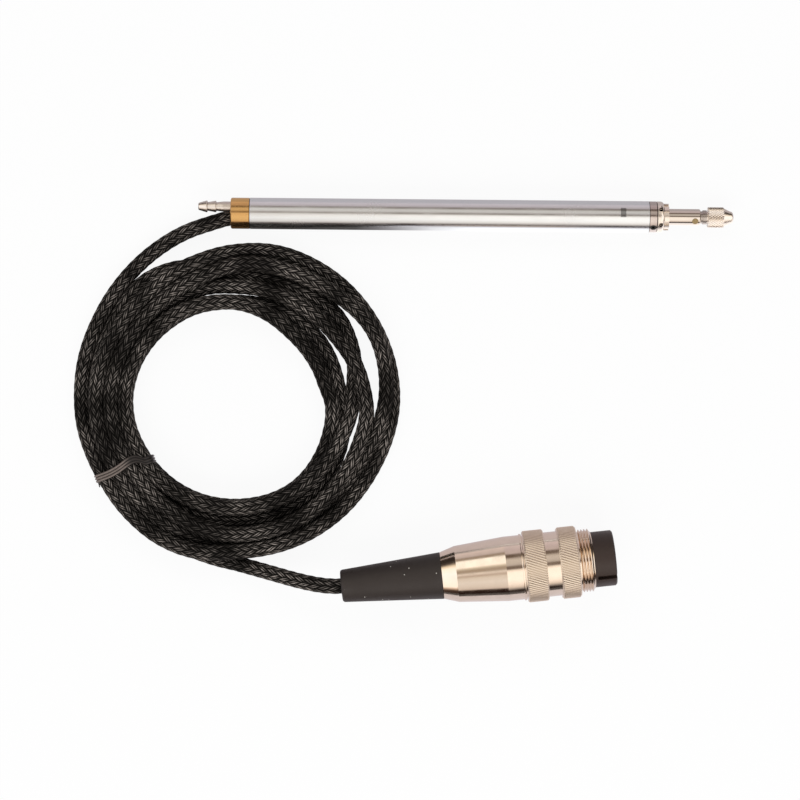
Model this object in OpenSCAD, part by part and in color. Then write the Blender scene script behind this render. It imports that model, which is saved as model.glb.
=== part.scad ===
// Pencil-shaped displacement sensor with a sprung contact, an air barb and a coiled cable

/* [Stem] */
// Diameter of the clamping stem
stem_d = 8; // [8:0.5:10]
// Length of the stem
stem_length = 102; // [100:1:120]
// Bore of the stem
stem_bore_d = 6.8; // [6.7:0.05:7]

/* [Rear cap] */
// Length of the cap outside the stem
cap_length = 4.9; // [4:0.1:7]
// Length of the cap's spigot inside the stem
spigot_length = 2.6; // [2:0.1:3]
// Depth of the counterbore that takes the braided cable
cable_pocket = 3.7; // [3:0.1:3.8]
// Bevel at the joints between the turned pieces
joint_bevel = 0.22; // [0.1:0.02:0.3]

/* [Air barb] */
// How far the barb stands to the side of the stem's axis
barb_side = 1.6; // [1.5:0.05:1.7]
// How far the barb stands above the stem's axis
barb_lift = 1; // [0.9:0.05:1.1]
// Length of the barb behind the cap
barb_length = 8.3; // [8:0.1:12]
// Diameter of the barb's plain neck
barb_neck_d = 2.6; // [2.4:0.05:2.7]
// Diameter over the barb's ridges
barb_ridge_d = 3; // [2.8:0.05:3.2]
// Diameter between the barb's ridges
barb_root_d = 2.2; // [2:0.05:2.4]
// Distance from one ridge to the next
barb_pitch = 2.25; // [1.8:0.05:2.6]
// Bore of the barb
barb_bore_d = 1.1; // [0.8:0.1:1.4]
// Diameter of the barb's shank in the cap
barb_shank_d = 2; // [1.6:0.1:2.1]

/* [Front end] */
// Length of the collar that joins the stem
collar_length = 2.05; // [1.9:0.05:3]
// Diameter of the collar's grub screw
grub_d = 1.6; // [1:0.1:1.6]
// Length of the nose nut
nut_length = 1.8; // [1.7:0.05:3]
// Radius of the nut's rounded front edge
nut_round = 0.9; // [0.3:0.1:0.9]
// Number of spanner holes round the nut
spanner_count = 6; // [2:1:8]
// Diameter of a spanner hole
spanner_d = 1; // [0.6:0.1:1.1]
// Diameter of the notched ring
notched_d = 6.8; // [6.2:0.1:7]
// Length of the notched ring
notched_length = 1.2; // [0.8:0.1:1.5]
// Number of notches
notch_count = 8; // [4:1:10]
// Width of a notch
notch_w = 1.1; // [0.6:0.1:1.2]
// Depth of a notch
notch_depth = 0.55; // [0.3:0.05:0.8]

/* [Plunger] */
// Diameter of the plunger rod
rod_d = 4.2; // [3.9:0.05:4.3]
// How far the rod stands out of the stem
rod_reach = 13.2; // [12.5:0.1:16]
// Stroke of the plunger
stroke = 5.5; // [3:0.5:6]
// Length of the piston on the plunger
piston_length = 2.4; // [2.2:0.1:3]
// Diameter of the plug that locks the contact's thread
lock_plug_d = 1.6; // [1.2:0.1:1.8]

/* [Contact] */
// Diameter of the knurled contact
contact_d = 5.3; // [4.4:0.1:5.6]
// Length of the knurled part
knurl_length = 3.7; // [3:0.1:5]
// Length of the cone in front of it
cone_length = 2.7; // [2:0.1:4]
// Diameter of the rounded tip
tip_d = 3.1; // [2:0.1:3.4]
// Diameter of the contact's threaded stud
stud_d = 2.5; // [2:0.1:2.5]
// Length of the lock ring behind the contact
lock_ring_length = 1.6; // [1:0.1:2]

/* [Ball guide] */
// Length of the guide bush inside the stem
bush_length = 24; // [24:1:30]
// Wall of the guide bush
bush_wall = 0.55; // [0.5:0.01:0.58]
// Length of the ball cage
cage_length = 15; // [12:0.5:16]
// Number of ball rows along the cage
ball_rows = 5; // [3:1:6]
// Balls in each row
balls_per_row = 6; // [4:1:7]

/* [Spring] */
// Length of the spring with the plunger out
spring_length = 15; // [14:0.5:20]
// Thickness of the spring wire
wire_d = 0.5; // [0.3:0.05:0.6]
// Mean diameter of the spring
spring_d = 5.4; // [4.8:0.1:5.6]
// Turns of the spring
spring_turns = 8; // [5:1:9]

/* [Transducer] */
// Length of the bobbin between the spring and its rear head
bobbin_length = 36; // [34:1:38]
// Bore of the bobbin
bobbin_bore_d = 2.7; // [2.6:0.1:3]
// Wall of the bobbin's tube
bobbin_wall = 0.3; // [0.2:0.05:0.4]
// Thickness of the bobbin's flanges
flange_t = 0.8; // [0.6:0.1:1.2]
// Wall of the magnetic shield
shield_wall = 0.4; // [0.3:0.05:0.5]
// Diameter of the moving core
core_d = 2.2; // [2:0.1:2.4]
// Length of the moving core
core_length = 14; // [10:1:18]
// Diameter of the rod that carries the core
core_rod_d = 1.2; // [1:0.1:1.4]
// Length of the board that the cable ends on
board_length = 14; // [12:0.5:14.5]
// Width of the board
board_w = 4.6; // [4:0.1:4.8]
// Thickness of the board
board_t = 0.8; // [0.6:0.1:1]

/* [Cable] */
// Diameter of the braided cable
cable_d = 4; // [3.9:0.05:4.1]
// Diameter of the cable's inner jacket
jacket_d = 2.4; // [2.2:0.1:2.6]
// How far the cable leaves to the side of the stem's axis
cable_side = 1.2; // [1.1:0.05:1.25]
// How far the cable leaves below the stem's axis
cable_drop = 1.15; // [1:0.05:1.2]
// Outer radius of the coil
coil_outer_r = 41.3; // [41.2:0.05:41.6]
// Inner radius of the coil
coil_inner_r = 25.1; // [24:0.1:26]
// Layers of cable in the coil
coil_layers = 2; // [2:1:3]
// Width of the tie round the coil
tie_w = 2.4; // [1.5:0.1:4]
// Thickness of the tie
tie_t = 0.5; // [0.3:0.05:0.6]
// Place of the tie round the coil, in degrees
tie_angle = 212; // [195:1:225]

/* [Connector] */
// Length of the rubber boot
boot_length = 25.6; // [24:0.1:32]
// Diameter of the boot's rear end
boot_rear_d = 8.3; // [7.5:0.1:9.5]
// Diameter of the boot's front end
boot_front_d = 11.9; // [11:0.1:12.4]
// Length of the back shell's short cone
short_cone = 3.7; // [2.5:0.1:5]
// Diameter in front of the short cone
waist_d = 14.2; // [13.6:0.1:15]
// Length of the back shell's long taper
long_taper = 13.6; // [11:0.1:16]
// Diameter of the shells' plain part
shell_d = 16.4; // [16.1:0.1:17]
// Length of the plain part before the grip ring
shell_plain = 3.1; // [2:0.1:5]
// Diameter of both grip rings
grip_d = 18.2; // [17.8:0.1:20]
// Length of the back shell's grip ring
rear_grip = 5.3; // [4:0.1:7]
// Length of the front shell's neck between the grip rings
shell_neck = 3.4; // [2:0.1:5]
// Length of the front shell's grip ring
front_grip = 4.9; // [4:0.1:7]
// Outer diameter of the connector's thread
thread_d = 16; // [15.6:0.1:16]
// Length of the connector's thread
thread_length = 2.8; // [2:0.1:5]
// Diameter of the contact insert in front of the shell
insert_d = 14.1; // [13.6:0.1:14.2]
// Length of the insert in front of the shell
insert_reach = 5.5; // [4:0.1:8]
// Diameter of the circle that the contacts stand on
contact_circle_d = 8.9; // [8.4:0.1:9]
// Diameter of a contact
socket_d = 2.2; // [2:0.1:2.3]
// Bore of a contact
socket_bore_d = 1.5; // [1.2:0.1:1.6]
// Width of the insert's keyway
keyway_w = 1.3; // [0.8:0.1:1.6]

/* [Hidden] */
$fn = 72;

// Gap between pieces that are fixed to each other
seat = 0.02;
// Gap between the balls and their tracks
ball_gap = 0.02;
// Gap between sliding pieces that the balls hold apart
slide_gap = 0.08;
// Gap that is left at a stop
stop_gap = 0.05;
// How far the turned pieces at the stem's ends stay under its radius
flush = 0.025;

floor_z = -stem_d / 2;
stem_rear = -stem_length;
cap_rear = stem_rear - cap_length;
pocket_floor = cap_rear + cable_pocket;
// The braid ends this far inside the cap
braid_in = 1;
braid_end = cap_rear + braid_in;
jacket_front = stem_rear + spigot_length + 1.4;
barb_in = 3.4;

nut_rear = collar_length;
nut_front = nut_rear + nut_length;
notched_front = nut_front + notched_length;
// Sides of the grub screw, a spanner hole and a notch, in degrees from the top towards +Y
grub_side = -48;
spanner_side = 25;
notch_side = 11;
spigot_d = stem_bore_d - 1;
rod_hole_d = rod_d + 0.16;
bush_shoulder = -2;
wiper_length = 0.6;
nut_lip = 0.5;
ring_spigot_d = 5.1;
bush_nose = nut_front - nut_lip - wiper_length;

washer_length = 0.5;
washer_rear = -bush_length - washer_length;
piston_front = washer_rear - stop_gap;
piston_rear = piston_front - piston_length;
piston_d = stem_bore_d - 0.4;
seal_section = 0.84;
spring_rear = piston_rear - spring_length;
spring_guide_d = 2.6;
guide_stub = spring_length - stroke - 2 * stop_gap;
core_hole_depth = 4;

track_d = stem_bore_d - 2 * seat - 2 * bush_wall;
ball_d = (track_d - rod_d) / 2 - 2 * ball_gap;
ball_circle_r = (track_d + rod_d) / 4;
cage_front = bush_shoulder - 0.5;
ball_step = (cage_length - 3) / (ball_rows - 1);

seat_t = 1;
bobbin_front = spring_rear - seat_t;
bobbin_rear = bobbin_front - bobbin_length;
head_t = 3;
head_rear = bobbin_rear - head_t;
shield_bore_d = stem_bore_d - 2 * seat - 2 * shield_wall;
bobbin_middle = (bobbin_front + bobbin_rear) / 2;
// Half a stroke in front of the middle, so that mid-stroke is the electrical zero
core_middle = bobbin_middle + stroke / 2;
board_top = -1.35;
board_in = 1.5;
board_front = head_rear + board_in;
board_rear = board_front - board_length;
signal_wire_d = 0.44;
signal_pitch = 0.55;

stud_length = 5;
lock_step_d = 3.15;
lock_flange_d = 3.65;
contact_neck = 0.5;
contact_rear = rod_reach + lock_ring_length + contact_neck;
contact_front = contact_rear + knurl_length + cone_length;
plug_x = rod_reach - 1.4;
// The plug's side, in degrees from the top towards +Y
plug_side = -34;

// The tie presses into the strands, with this gap at its edges
tie_gap = 0.05;
floor_to_coil = coil_layers * cable_d + 0.1;
coil_x = -105;
coil_y = -48.2;
coil_mean_r = (coil_outer_r + coil_inner_r) / 2;
coil_w = coil_outer_r - coil_inner_r;

conn_x = -77.7;
conn_y = -94.9;
conn_angle = 6.5;
conn_z = floor_z + grip_d / 2;
boot_spigot = 5.5;
boot_spigot_d = 7.6;
cone_end = boot_length + short_cone;
taper_end = cone_end + long_taper;
bead_rear = taper_end + shell_plain;
bead_length = 0.9;
grip_rear = bead_rear + bead_length;
grip_end = grip_rear + rear_grip;
neck_end = grip_end + shell_neck;
front_grip_end = neck_end + front_grip;
relief = 0.4;
thread_rear = front_grip_end + relief;
thread_end = thread_rear + thread_length;
shell_end = thread_end + 0.5;
insert_end = shell_end + insert_reach;
insert_body_d = 12.8;
insert_rear = grip_end - 1;
shell_join = 4.6;
// The back shell's wide bore starts this far behind the end of its taper
shell_bore_in = 6;
shell_join_d = 14.2;
collet_rear = boot_length + 2.4;
collet_length = 7;
collet_d = 9;
cable_in = collet_rear + collet_length + 0.5;
cup_length = 3.5;
cup_floor = 1;
// Depth of a contact's bore, and how far its mouth lies inside the insert
socket_depth = 7;
socket_in = 1.5;
wire_start = cable_in + 0.2;
insert_ring_t = 1;
// The keyway's side, in degrees from the top towards +Y
keyway_side = -39;
// The keyway starts this far in front of the shell
keyway_rear = 0.6;

// The cable from the cap down to the surface and on to the coil
LEAD = [
    [braid_end, -cable_side, -cable_drop], [cap_rear - 0.6, -cable_side, -cable_drop],
    [-112, -2.5, -1.4], [-118, -4.6, -1.8], [-123.5, -7.6, -2], [-129, -11.8, -2],
    [-134, -17, -2], [-138, -22.8, -2], [-141, -28.6, -2]
];
// The cable from the coil up to the boot
TAIL = [
    [-118.4, -85.3, -2], [-111.5, -88.2, -2], [-104, -90, -1.4], [-96, -92, 0.5],
    [-88.5, -93.8, 3], [-82.5, -94.8, 4.6]
];

// Turns an outline of [place along X, radius] about the X axis
module turned(outline) {
    rotate([0, 90, 0])
        rotate_extrude()
            polygon([for (p = outline) [p[1], p[0]]]);
}

// A cylinder along X from one place to another
module along_x(from, to, d) {
    translate([from, 0, 0])
        rotate([0, 90, 0])
            cylinder(d = d, h = to - from);
}

// Puts what stands on +Z at a place along X, turned from the top towards +Y
module radial(x, angle) {
    translate([x, 0, 0])
        rotate([-angle, 0, 0])
            children();
}

// A straight round bar between two points
module bar(a, b, d) {
    v = b - a;
    translate(a)
        rotate([0, acos(v[2] / norm(v)), atan2(v[1], v[0])])
            cylinder(d = d, h = norm(v), $fn = 24);
}

function unit(v) = v / norm(v);

function heading(points, i) =
    unit(points[min(i + 1, len(points) - 1)] - points[max(i - 1, 0)]);

// One ring of a tube's corners, square to its heading
function ring(at, way, d, sides) =
    let (across = unit(cross([0, 0, 1], way)), up = cross(way, across))
    [for (k = [0 : sides - 1]) at + d / 2 * (cos(360 * k / sides) * across + sin(360 * k / sides) * up)];

// A round tube through a list of points
module swept(points, ways, d, sides) {
    last = len(points) - 1;
    corners = [for (i = [0 : last]) each ring(points[i], ways[i], d, sides)];
    walls = [
        for (i = [0 : last - 1])
            for (k = [0 : sides - 1])
                let (a = i * sides + k, b = i * sides + (k + 1) % sides)
                    each [[a, b, b + sides], [a, b + sides, a + sides]]
    ];
    caps = [
        [for (k = [sides - 1 : -1 : 0]) k],
        [for (k = [0 : sides - 1]) last * sides + k]
    ];
    polyhedron(points = corners, faces = [for (f = concat(walls, caps)) [for (k = [len(f) - 1 : -1 : 0]) f[k]]]);
}

module cord(points, end_ways) {
    last = len(points) - 1;
    ways = [for (i = [0 : last]) i == 0 ? end_ways[0] : i == last ? end_ways[1] : heading(points, i)];
    swept(points, ways, cable_d, 12);
}

function on_connector(t) =
    [conn_x + t * cos(conn_angle), conn_y + t * sin(conn_angle), conn_z];

module at_connector() {
    translate([conn_x, conn_y, conn_z])
        rotate([0, 0, conn_angle])
            children();
}

module stem_tube() {
    color("#b4b3b1")
        difference() {
            along_x(stem_rear, 0, stem_d);
            along_x(stem_rear - 1, 1, stem_bore_d);
        }
}

module cap_holes() {
    translate([0, -cable_side, -cable_drop]) {
        along_x(cap_rear - 1, pocket_floor, cable_d + 4 * seat);
        along_x(cap_rear, stem_rear + spigot_length + 1, jacket_d + 2 * seat);
    }
    translate([0, barb_side, barb_lift])
        along_x(cap_rear - 1, stem_rear + spigot_length + 1, barb_shank_d + 2 * seat);
}

module rear_cap() {
    r = stem_d / 2 - flush;
    spigot_r = stem_bore_d / 2 - seat;
    color("#c8963e")
        difference() {
            turned([
                [cap_rear, 0], [cap_rear, r - joint_bevel], [cap_rear + joint_bevel, r],
                [stem_rear - joint_bevel, r], [stem_rear, r - joint_bevel], [stem_rear, spigot_r],
                [stem_rear + spigot_length, spigot_r], [stem_rear + spigot_length, 0]
            ]);
            cap_holes();
        }
}

module cable_seal() {
    color("#2a2a2a")
        translate([0, -cable_side, -cable_drop])
            difference() {
                along_x(braid_end, pocket_floor, cable_d);
                along_x(braid_end - 1, pocket_floor + 1, jacket_d + 2 * seat);
            }
}

module cable_jacket() {
    color("#4a4a4c")
        translate([0, -cable_side, -cable_drop])
            along_x(braid_end, jacket_front, jacket_d);
}

module air_barb() {
    tip_r = barb_root_d / 2 - 0.15;
    ridge_r = barb_ridge_d / 2;
    root_r = barb_root_d / 2;
    neck_r = barb_neck_d / 2;
    tip = cap_rear - barb_length;
    first = tip + barb_pitch;
    second = first + barb_pitch;
    neck = second + 0.8 * barb_pitch;
    color("#cfcdc8")
        translate([0, barb_side, barb_lift])
            difference() {
                turned([
                    [tip, 0], [tip, tip_r - 0.15], [tip + 0.15, tip_r],
                    [first - 0.2, ridge_r], [first, ridge_r], [first + 0.15, root_r],
                    [second - 0.2, ridge_r - 0.05], [second, ridge_r - 0.05], [second + 0.15, root_r],
                    [neck, neck_r], [cap_rear, neck_r], [cap_rear, barb_shank_d / 2],
                    [cap_rear + barb_in, barb_shank_d / 2], [cap_rear + barb_in, 0]
                ]);
                along_x(tip - 1, cap_rear + barb_in + 1, barb_bore_d);
            }
}

module termination_board() {
    color("#2f6b46")
        translate([board_rear, -board_w / 2, board_top - board_t])
            cube([board_length, board_w, board_t]);
}

module signal_wires() {
    color("#b04a3a")
        for (i = [0 : 3])
            translate([0, -cable_side + signal_pitch * (i - 1.5), board_top + signal_wire_d / 2])
                along_x(jacket_front, board_rear + 2.5, signal_wire_d);
}

module coil_bobbin() {
    tube_r = bobbin_bore_d / 2 + bobbin_wall;
    flange_r = shield_bore_d / 2 - seat;
    head_r = stem_bore_d / 2 - seat;
    color("#d8d2c0")
        difference() {
            turned([
                [head_rear, 0], [head_rear, head_r], [bobbin_rear, head_r], [bobbin_rear, flange_r],
                [bobbin_rear + flange_t, flange_r], [bobbin_rear + flange_t, tube_r],
                [bobbin_middle - flange_t / 2, tube_r], [bobbin_middle - flange_t / 2, flange_r],
                [bobbin_middle + flange_t / 2, flange_r], [bobbin_middle + flange_t / 2, tube_r],
                [bobbin_front - flange_t, tube_r], [bobbin_front - flange_t, flange_r],
                [bobbin_front, flange_r], [bobbin_front, 0]
            ]);
            along_x(head_rear - 1, bobbin_front + 1, bobbin_bore_d);
            translate([head_rear - 1, -board_w / 2 - seat, board_top - board_t - seat])
                cube([1 + board_in + seat, board_w + 2 * seat, board_t + 2 * seat]);
        }
}

module winding(from, to) {
    color("#a8562a")
        difference() {
            along_x(from + seat, to - seat, shield_bore_d - 0.4);
            along_x(from, to, bobbin_bore_d + 2 * bobbin_wall + 2 * seat);
        }
}

module winding_front() {
    winding(bobbin_middle + flange_t / 2, bobbin_front - flange_t);
}

module winding_rear() {
    winding(bobbin_rear + flange_t, bobbin_middle - flange_t / 2);
}

module magnetic_shield() {
    color("#8f9296")
        difference() {
            along_x(bobbin_rear, bobbin_front, stem_bore_d - 2 * seat);
            along_x(bobbin_rear - 1, bobbin_front + 1, shield_bore_d);
        }
}

module moving_core() {
    color("#5d5f63")
        difference() {
            along_x(core_middle - core_length / 2, core_middle + core_length / 2, core_d);
            along_x(core_middle - core_length, core_middle + core_length, core_rod_d + 2 * seat);
        }
}

module core_rod() {
    color("#bfc2c4")
        along_x(core_middle - core_length / 2 - 0.5, piston_rear - guide_stub + core_hole_depth - 0.2, core_rod_d);
}

module spring_seat() {
    color("#c9b27a")
        difference() {
            along_x(bobbin_front, spring_rear, stem_bore_d - 2 * seat);
            along_x(bobbin_front - 1, spring_rear + 1, core_rod_d + 0.6);
        }
}

module return_spring() {
    steps = 18;
    pitch = (spring_length - wire_d - 2 * seat) / spring_turns;
    rise = pitch / (360 / 180 * PI * spring_d / 2);
    path = [
        for (i = [0 : spring_turns * steps])
            let (a = 360 * i / steps)
                [spring_rear + seat + wire_d / 2 + pitch * i / steps, spring_d / 2 * cos(a), spring_d / 2 * sin(a)]
    ];
    ways = [
        for (i = [0 : spring_turns * steps])
            let (a = 360 * i / steps)
                unit([rise, -sin(a), cos(a)])
    ];
    sides = 6;
    last = len(path) - 1;
    corners = [
        for (i = [0 : last])
            let (a = 360 * i / steps, out = [0, cos(a), sin(a)], side = cross(ways[i], out))
                for (k = [0 : sides - 1])
                    path[i] + wire_d / 2 * (cos(360 * k / sides) * out + sin(360 * k / sides) * side)
    ];
    walls = [
        for (i = [0 : last - 1])
            for (k = [0 : sides - 1])
                let (a = i * sides + k, b = i * sides + (k + 1) % sides)
                    each [[a, b, b + sides], [a, b + sides, a + sides]]
    ];
    caps = [
        [for (k = [sides - 1 : -1 : 0]) k],
        [for (k = [0 : sides - 1]) last * sides + k]
    ];
    color("#9a9da0")
        polyhedron(points = corners, faces = concat(walls, caps));
}

module plunger() {
    r = rod_d / 2;
    guide_r = spring_guide_d / 2;
    guide_rear = piston_rear - guide_stub;
    groove_r = piston_d / 2 - 0.7;
    groove_rear = (piston_front + piston_rear - seal_section) / 2 - seat;
    groove_front = groove_rear + seal_section + 2 * seat;
    chamfer = 0.25;
    color("#c4c3c0")
        difference() {
            turned([
                [guide_rear, 0], [guide_rear, guide_r], [piston_rear, guide_r], [piston_rear, piston_d / 2],
                [groove_rear, piston_d / 2], [groove_rear, groove_r], [groove_front, groove_r],
                [groove_front, piston_d / 2], [piston_front, piston_d / 2], [piston_front, r],
                [rod_reach - chamfer, r], [rod_reach, r - chamfer], [rod_reach, 0]
            ]);
            along_x(guide_rear - 1, guide_rear + core_hole_depth, core_rod_d + 2 * seat);
            along_x(rod_reach - stud_length - 0.3, rod_reach + 1, stud_d + 2 * seat);
            radial(plug_x, plug_side)
                cylinder(d = lock_plug_d + 2 * seat, h = rod_d, $fn = 32);
        }
}

module piston_seal() {
    color("#1e1e1e")
        translate([(piston_front + piston_rear) / 2, 0, 0])
            rotate([0, 90, 0])
                rotate_extrude()
                    translate([piston_d / 2 - 0.7 + seat + seal_section / 2, 0])
                        circle(d = seal_section, $fn = 32);
}

module stop_washer() {
    color("#3a3a3a")
        difference() {
            along_x(washer_rear, -bush_length, stem_bore_d - 2 * seat);
            along_x(washer_rear - 1, 1 - bush_length, track_d + 0.1);
        }
}

module guide_bush() {
    color("#aeb0b0")
        difference() {
            turned([
                [-bush_length, 0], [-bush_length, stem_bore_d / 2 - seat], [0, stem_bore_d / 2 - seat],
                [0, spigot_d / 2], [bush_nose, spigot_d / 2], [bush_nose, 0]
            ]);
            along_x(-bush_length - 1, bush_shoulder, track_d);
            along_x(bush_shoulder - 1, bush_nose + 1, rod_hole_d);
        }
}

// Puts one copy at each ball's place
module at_balls() {
    for (row = [0 : ball_rows - 1])
        for (i = [0 : balls_per_row - 1])
            radial(cage_front - 1.5 - row * ball_step, 360 * (i + row / 2) / balls_per_row)
                children();
}

module ball_cage() {
    color("#b98f4a")
        difference() {
            along_x(cage_front - cage_length, cage_front, track_d - 2 * slide_gap);
            along_x(cage_front - cage_length - 1, cage_front + 1, rod_d + 2 * slide_gap);
            at_balls()
                cylinder(d = ball_d + 2 * ball_gap, h = track_d, $fn = 24);
        }
}

module guide_balls() {
    color("#d5d7d8")
        at_balls()
            translate([0, 0, ball_circle_r])
                sphere(d = ball_d, $fn = 24);
}

module collar() {
    r = stem_d / 2 - flush;
    color("#a7a5a2")
        difference() {
            turned([
                [0, spigot_d / 2 + seat], [0, r - joint_bevel / 2], [joint_bevel / 2, r],
                [nut_rear - joint_bevel / 2, r], [nut_rear, r - joint_bevel / 2],
                [nut_rear, spigot_d / 2 + seat]
            ]);
            radial(collar_length / 2, grub_side)
                cylinder(d = grub_d + 2 * seat, h = stem_d, $fn = 32);
        }
}

module collar_screw() {
    color("#1c1a1a")
        radial(collar_length / 2, grub_side)
            translate([0, 0, spigot_d / 2 + 2 * seat])
                difference() {
                    cylinder(d = grub_d, h = stem_d / 2 - spigot_d / 2 - 0.12, $fn = 32);
                    translate([0, 0, stem_d / 2 - spigot_d / 2 - 0.62])
                        cylinder(d = grub_d / 2, h = 1, $fn = 6);
                }
}

module nose_nut() {
    r = stem_d / 2 - flush;
    round_steps = 6;
    color("#bdb7ae")
        difference() {
            turned(concat(
                [[nut_rear, spigot_d / 2 + seat], [nut_rear, r - joint_bevel / 2], [nut_rear + joint_bevel / 2, r]],
                [for (k = [0 : round_steps])
                    let (a = 90 * k / round_steps)
                        [nut_front - nut_round * (1 - sin(a)), r - nut_round * (1 - cos(a))]],
                [
                    [nut_front, ring_spigot_d / 2 + seat], [nut_front - nut_lip, ring_spigot_d / 2 + seat],
                    [nut_front - nut_lip, spigot_d / 2 + seat]
                ]
            ));
            for (i = [0 : spanner_count - 1])
                radial(nut_rear + nut_length / 2, spanner_side + 360 * i / spanner_count)
                    translate([0, 0, spigot_d / 2 + 0.3])
                        cylinder(d = spanner_d, h = stem_d, $fn = 24);
        }
}

module rod_wiper() {
    color("#1e1e1e")
        difference() {
            along_x(bush_nose, bush_nose + wiper_length, spigot_d);
            along_x(bush_nose - 1, bush_nose + wiper_length + 1, rod_d + 0.1);
        }
}

module notched_ring() {
    color("#9d9890")
        difference() {
            union() {
                along_x(nut_front, notched_front, notched_d);
                along_x(nut_front - nut_lip, nut_front + 0.1, ring_spigot_d);
            }
            along_x(nut_front - 1, notched_front + 1, rod_hole_d);
            for (i = [0 : notch_count - 1])
                radial((nut_front + notched_front) / 2, notch_side + 360 * i / notch_count)
                    translate([-notched_length, -notch_w / 2, notched_d / 2 - notch_depth])
                        cube([2 * notched_length, notch_w, notched_d]);
        }
}

module lock_plug() {
    color("#8f7136")
        radial(plug_x, plug_side)
            translate([0, 0, stud_d / 2 + 2 * seat])
                cylinder(d = lock_plug_d, h = rod_d / 2 - stud_d / 2 - seat, $fn = 32);
}

module lock_ring() {
    color("#8d8983")
        difference() {
            turned([
                [rod_reach, 0], [rod_reach, lock_step_d / 2], [rod_reach + 0.4 * lock_ring_length, lock_step_d / 2],
                [rod_reach + 0.4 * lock_ring_length, lock_flange_d / 2],
                [rod_reach + lock_ring_length, lock_flange_d / 2], [rod_reach + lock_ring_length, 0]
            ]);
            along_x(rod_reach - 1, rod_reach + lock_ring_length + 1, stud_d + 2 * seat);
        }
}

module contact_tip() {
    r = contact_d / 2;
    edge = 0.15;
    cone_rear = contact_rear + knurl_length;
    tip_r = tip_d / 2;
    // The tip's rounded edge and its slightly domed face
    edge_r = 0.7;
    steps = 6;
    color("#c9c0b4")
        turned(concat(
            [
                [rod_reach - stud_length, 0], [rod_reach - stud_length, stud_d / 2],
                [contact_rear - contact_neck, stud_d / 2], [contact_rear - contact_neck, lock_step_d / 2],
                [contact_rear, lock_step_d / 2], [contact_rear, r - edge], [contact_rear + edge, r],
                [cone_rear - edge, r], [cone_rear, r - edge]
            ],
            [for (k = [0 : steps])
                let (a = 15 + 65 * k / steps)
                    [contact_front - 0.1 - edge_r * (1 - sin(a)), tip_r - edge_r * (1 - cos(a))]],
            [[contact_front, 0]]
        ));
}

module cable_lead() {
    color("#222222")
        cord(LEAD, [[-1, 0, 0], heading(LEAD, len(LEAD) - 1)]);
}

module rounded_2d(w, h, r) {
    union() {
        translate([-w / 2, -h / 2 + r])
            square([w, h - 2 * r]);
        translate([-w / 2 + r, -h / 2])
            square([w - 2 * r, h]);
        for (x = [-1, 1])
            for (y = [-1, 1])
                translate([x * (w / 2 - r), y * (h / 2 - r)])
                    circle(r = r, $fn = 32);
    }
}

module at_tie() {
    translate([coil_x, coil_y, floor_z + floor_to_coil / 2])
        rotate([0, 0, tie_angle])
            translate([coil_mean_r, 0, 0])
                rotate([90, 0, 0])
                    children();
}

// The tie's closed strip, made thicker and wider all round by a clearance
module tie_loop(grow) {
    loop_w = coil_w + 2 * tie_t;
    loop_h = floor_to_coil + tie_t;
    at_tie()
        translate([0, (loop_h - floor_to_coil) / 2, -tie_w / 2 - grow])
            linear_extrude(tie_w + 2 * grow)
                difference() {
                    rounded_2d(loop_w + 2 * grow, loop_h + 2 * grow, cable_d / 2 + tie_t + grow);
                    rounded_2d(loop_w - 2 * tie_t - 2 * grow, loop_h - 2 * tie_t - 2 * grow, cable_d / 2 - grow);
                }
}

module cable_coil() {
    color("#1d1d1f")
        difference() {
            translate([coil_x, coil_y, floor_z + floor_to_coil / 2])
                rotate_extrude()
                    translate([coil_mean_r, 0])
                        rounded_2d(coil_w, floor_to_coil, cable_d / 2);
            // The strands give way to the tie all round
            tie_loop(tie_gap);
        }
}

module cable_tail() {
    rings = 4;
    route = concat(TAIL, [for (i = [0 : rings]) on_connector(cable_in * i / rings)]);
    color("#222222")
        cord(route, [heading(route, 0), unit(on_connector(1) - on_connector(0))]);
}

module cable_tie() {
    color("#3a3a3c")
        tie_loop(0);
}

module boot() {
    edge = 0.7;
    rear_r = boot_rear_d / 2;
    front_r = boot_front_d / 2;
    steps = 5;
    color("#35302e")
        at_connector()
            difference() {
                turned(concat(
                    [[0, 0]],
                    [for (k = [0 : steps])
                        let (a = 90 * k / steps)
                            [edge * (1 - cos(a)), rear_r - edge * (1 - sin(a))]],
                    [[boot_length, front_r], [boot_length, 0]]
                ));
                along_x(-1, boot_length + 1, cable_d + 4 * seat);
                along_x(boot_length - boot_spigot - seat, boot_length + 1, boot_spigot_d + 2 * seat);
            }
}

module back_shell() {
    spigot_r = boot_spigot_d / 2;
    plain_r = shell_d / 2;
    grip_r = grip_d / 2;
    groove_r = plain_r - 0.35;
    bevel = 0.3;
    color("#c9b99a")
        at_connector()
            difference() {
                turned([
                    [boot_length - boot_spigot, 0], [boot_length - boot_spigot, spigot_r], [boot_length, spigot_r],
                    [boot_length, boot_front_d / 2], [cone_end, waist_d / 2], [taper_end, plain_r],
                    [bead_rear, plain_r], [bead_rear, plain_r + 0.25], [grip_rear - 0.3, plain_r + 0.25],
                    [grip_rear - 0.3, groove_r], [grip_rear, groove_r],
                    [grip_rear, grip_r - bevel], [grip_rear + bevel, grip_r], [grip_end - bevel, grip_r],
                    [grip_end, grip_r - bevel], [grip_end, 0]
                ]);
                along_x(0, grip_end + 1, cable_d + 0.4);
                along_x(collet_rear, grip_end + 1, collet_d + 2 * seat);
                along_x(taper_end - shell_bore_in, grip_end + 1, insert_body_d - 0.4);
                along_x(grip_end - shell_join, grip_end + 1, shell_join_d + 2 * seat);
            }
}

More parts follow.
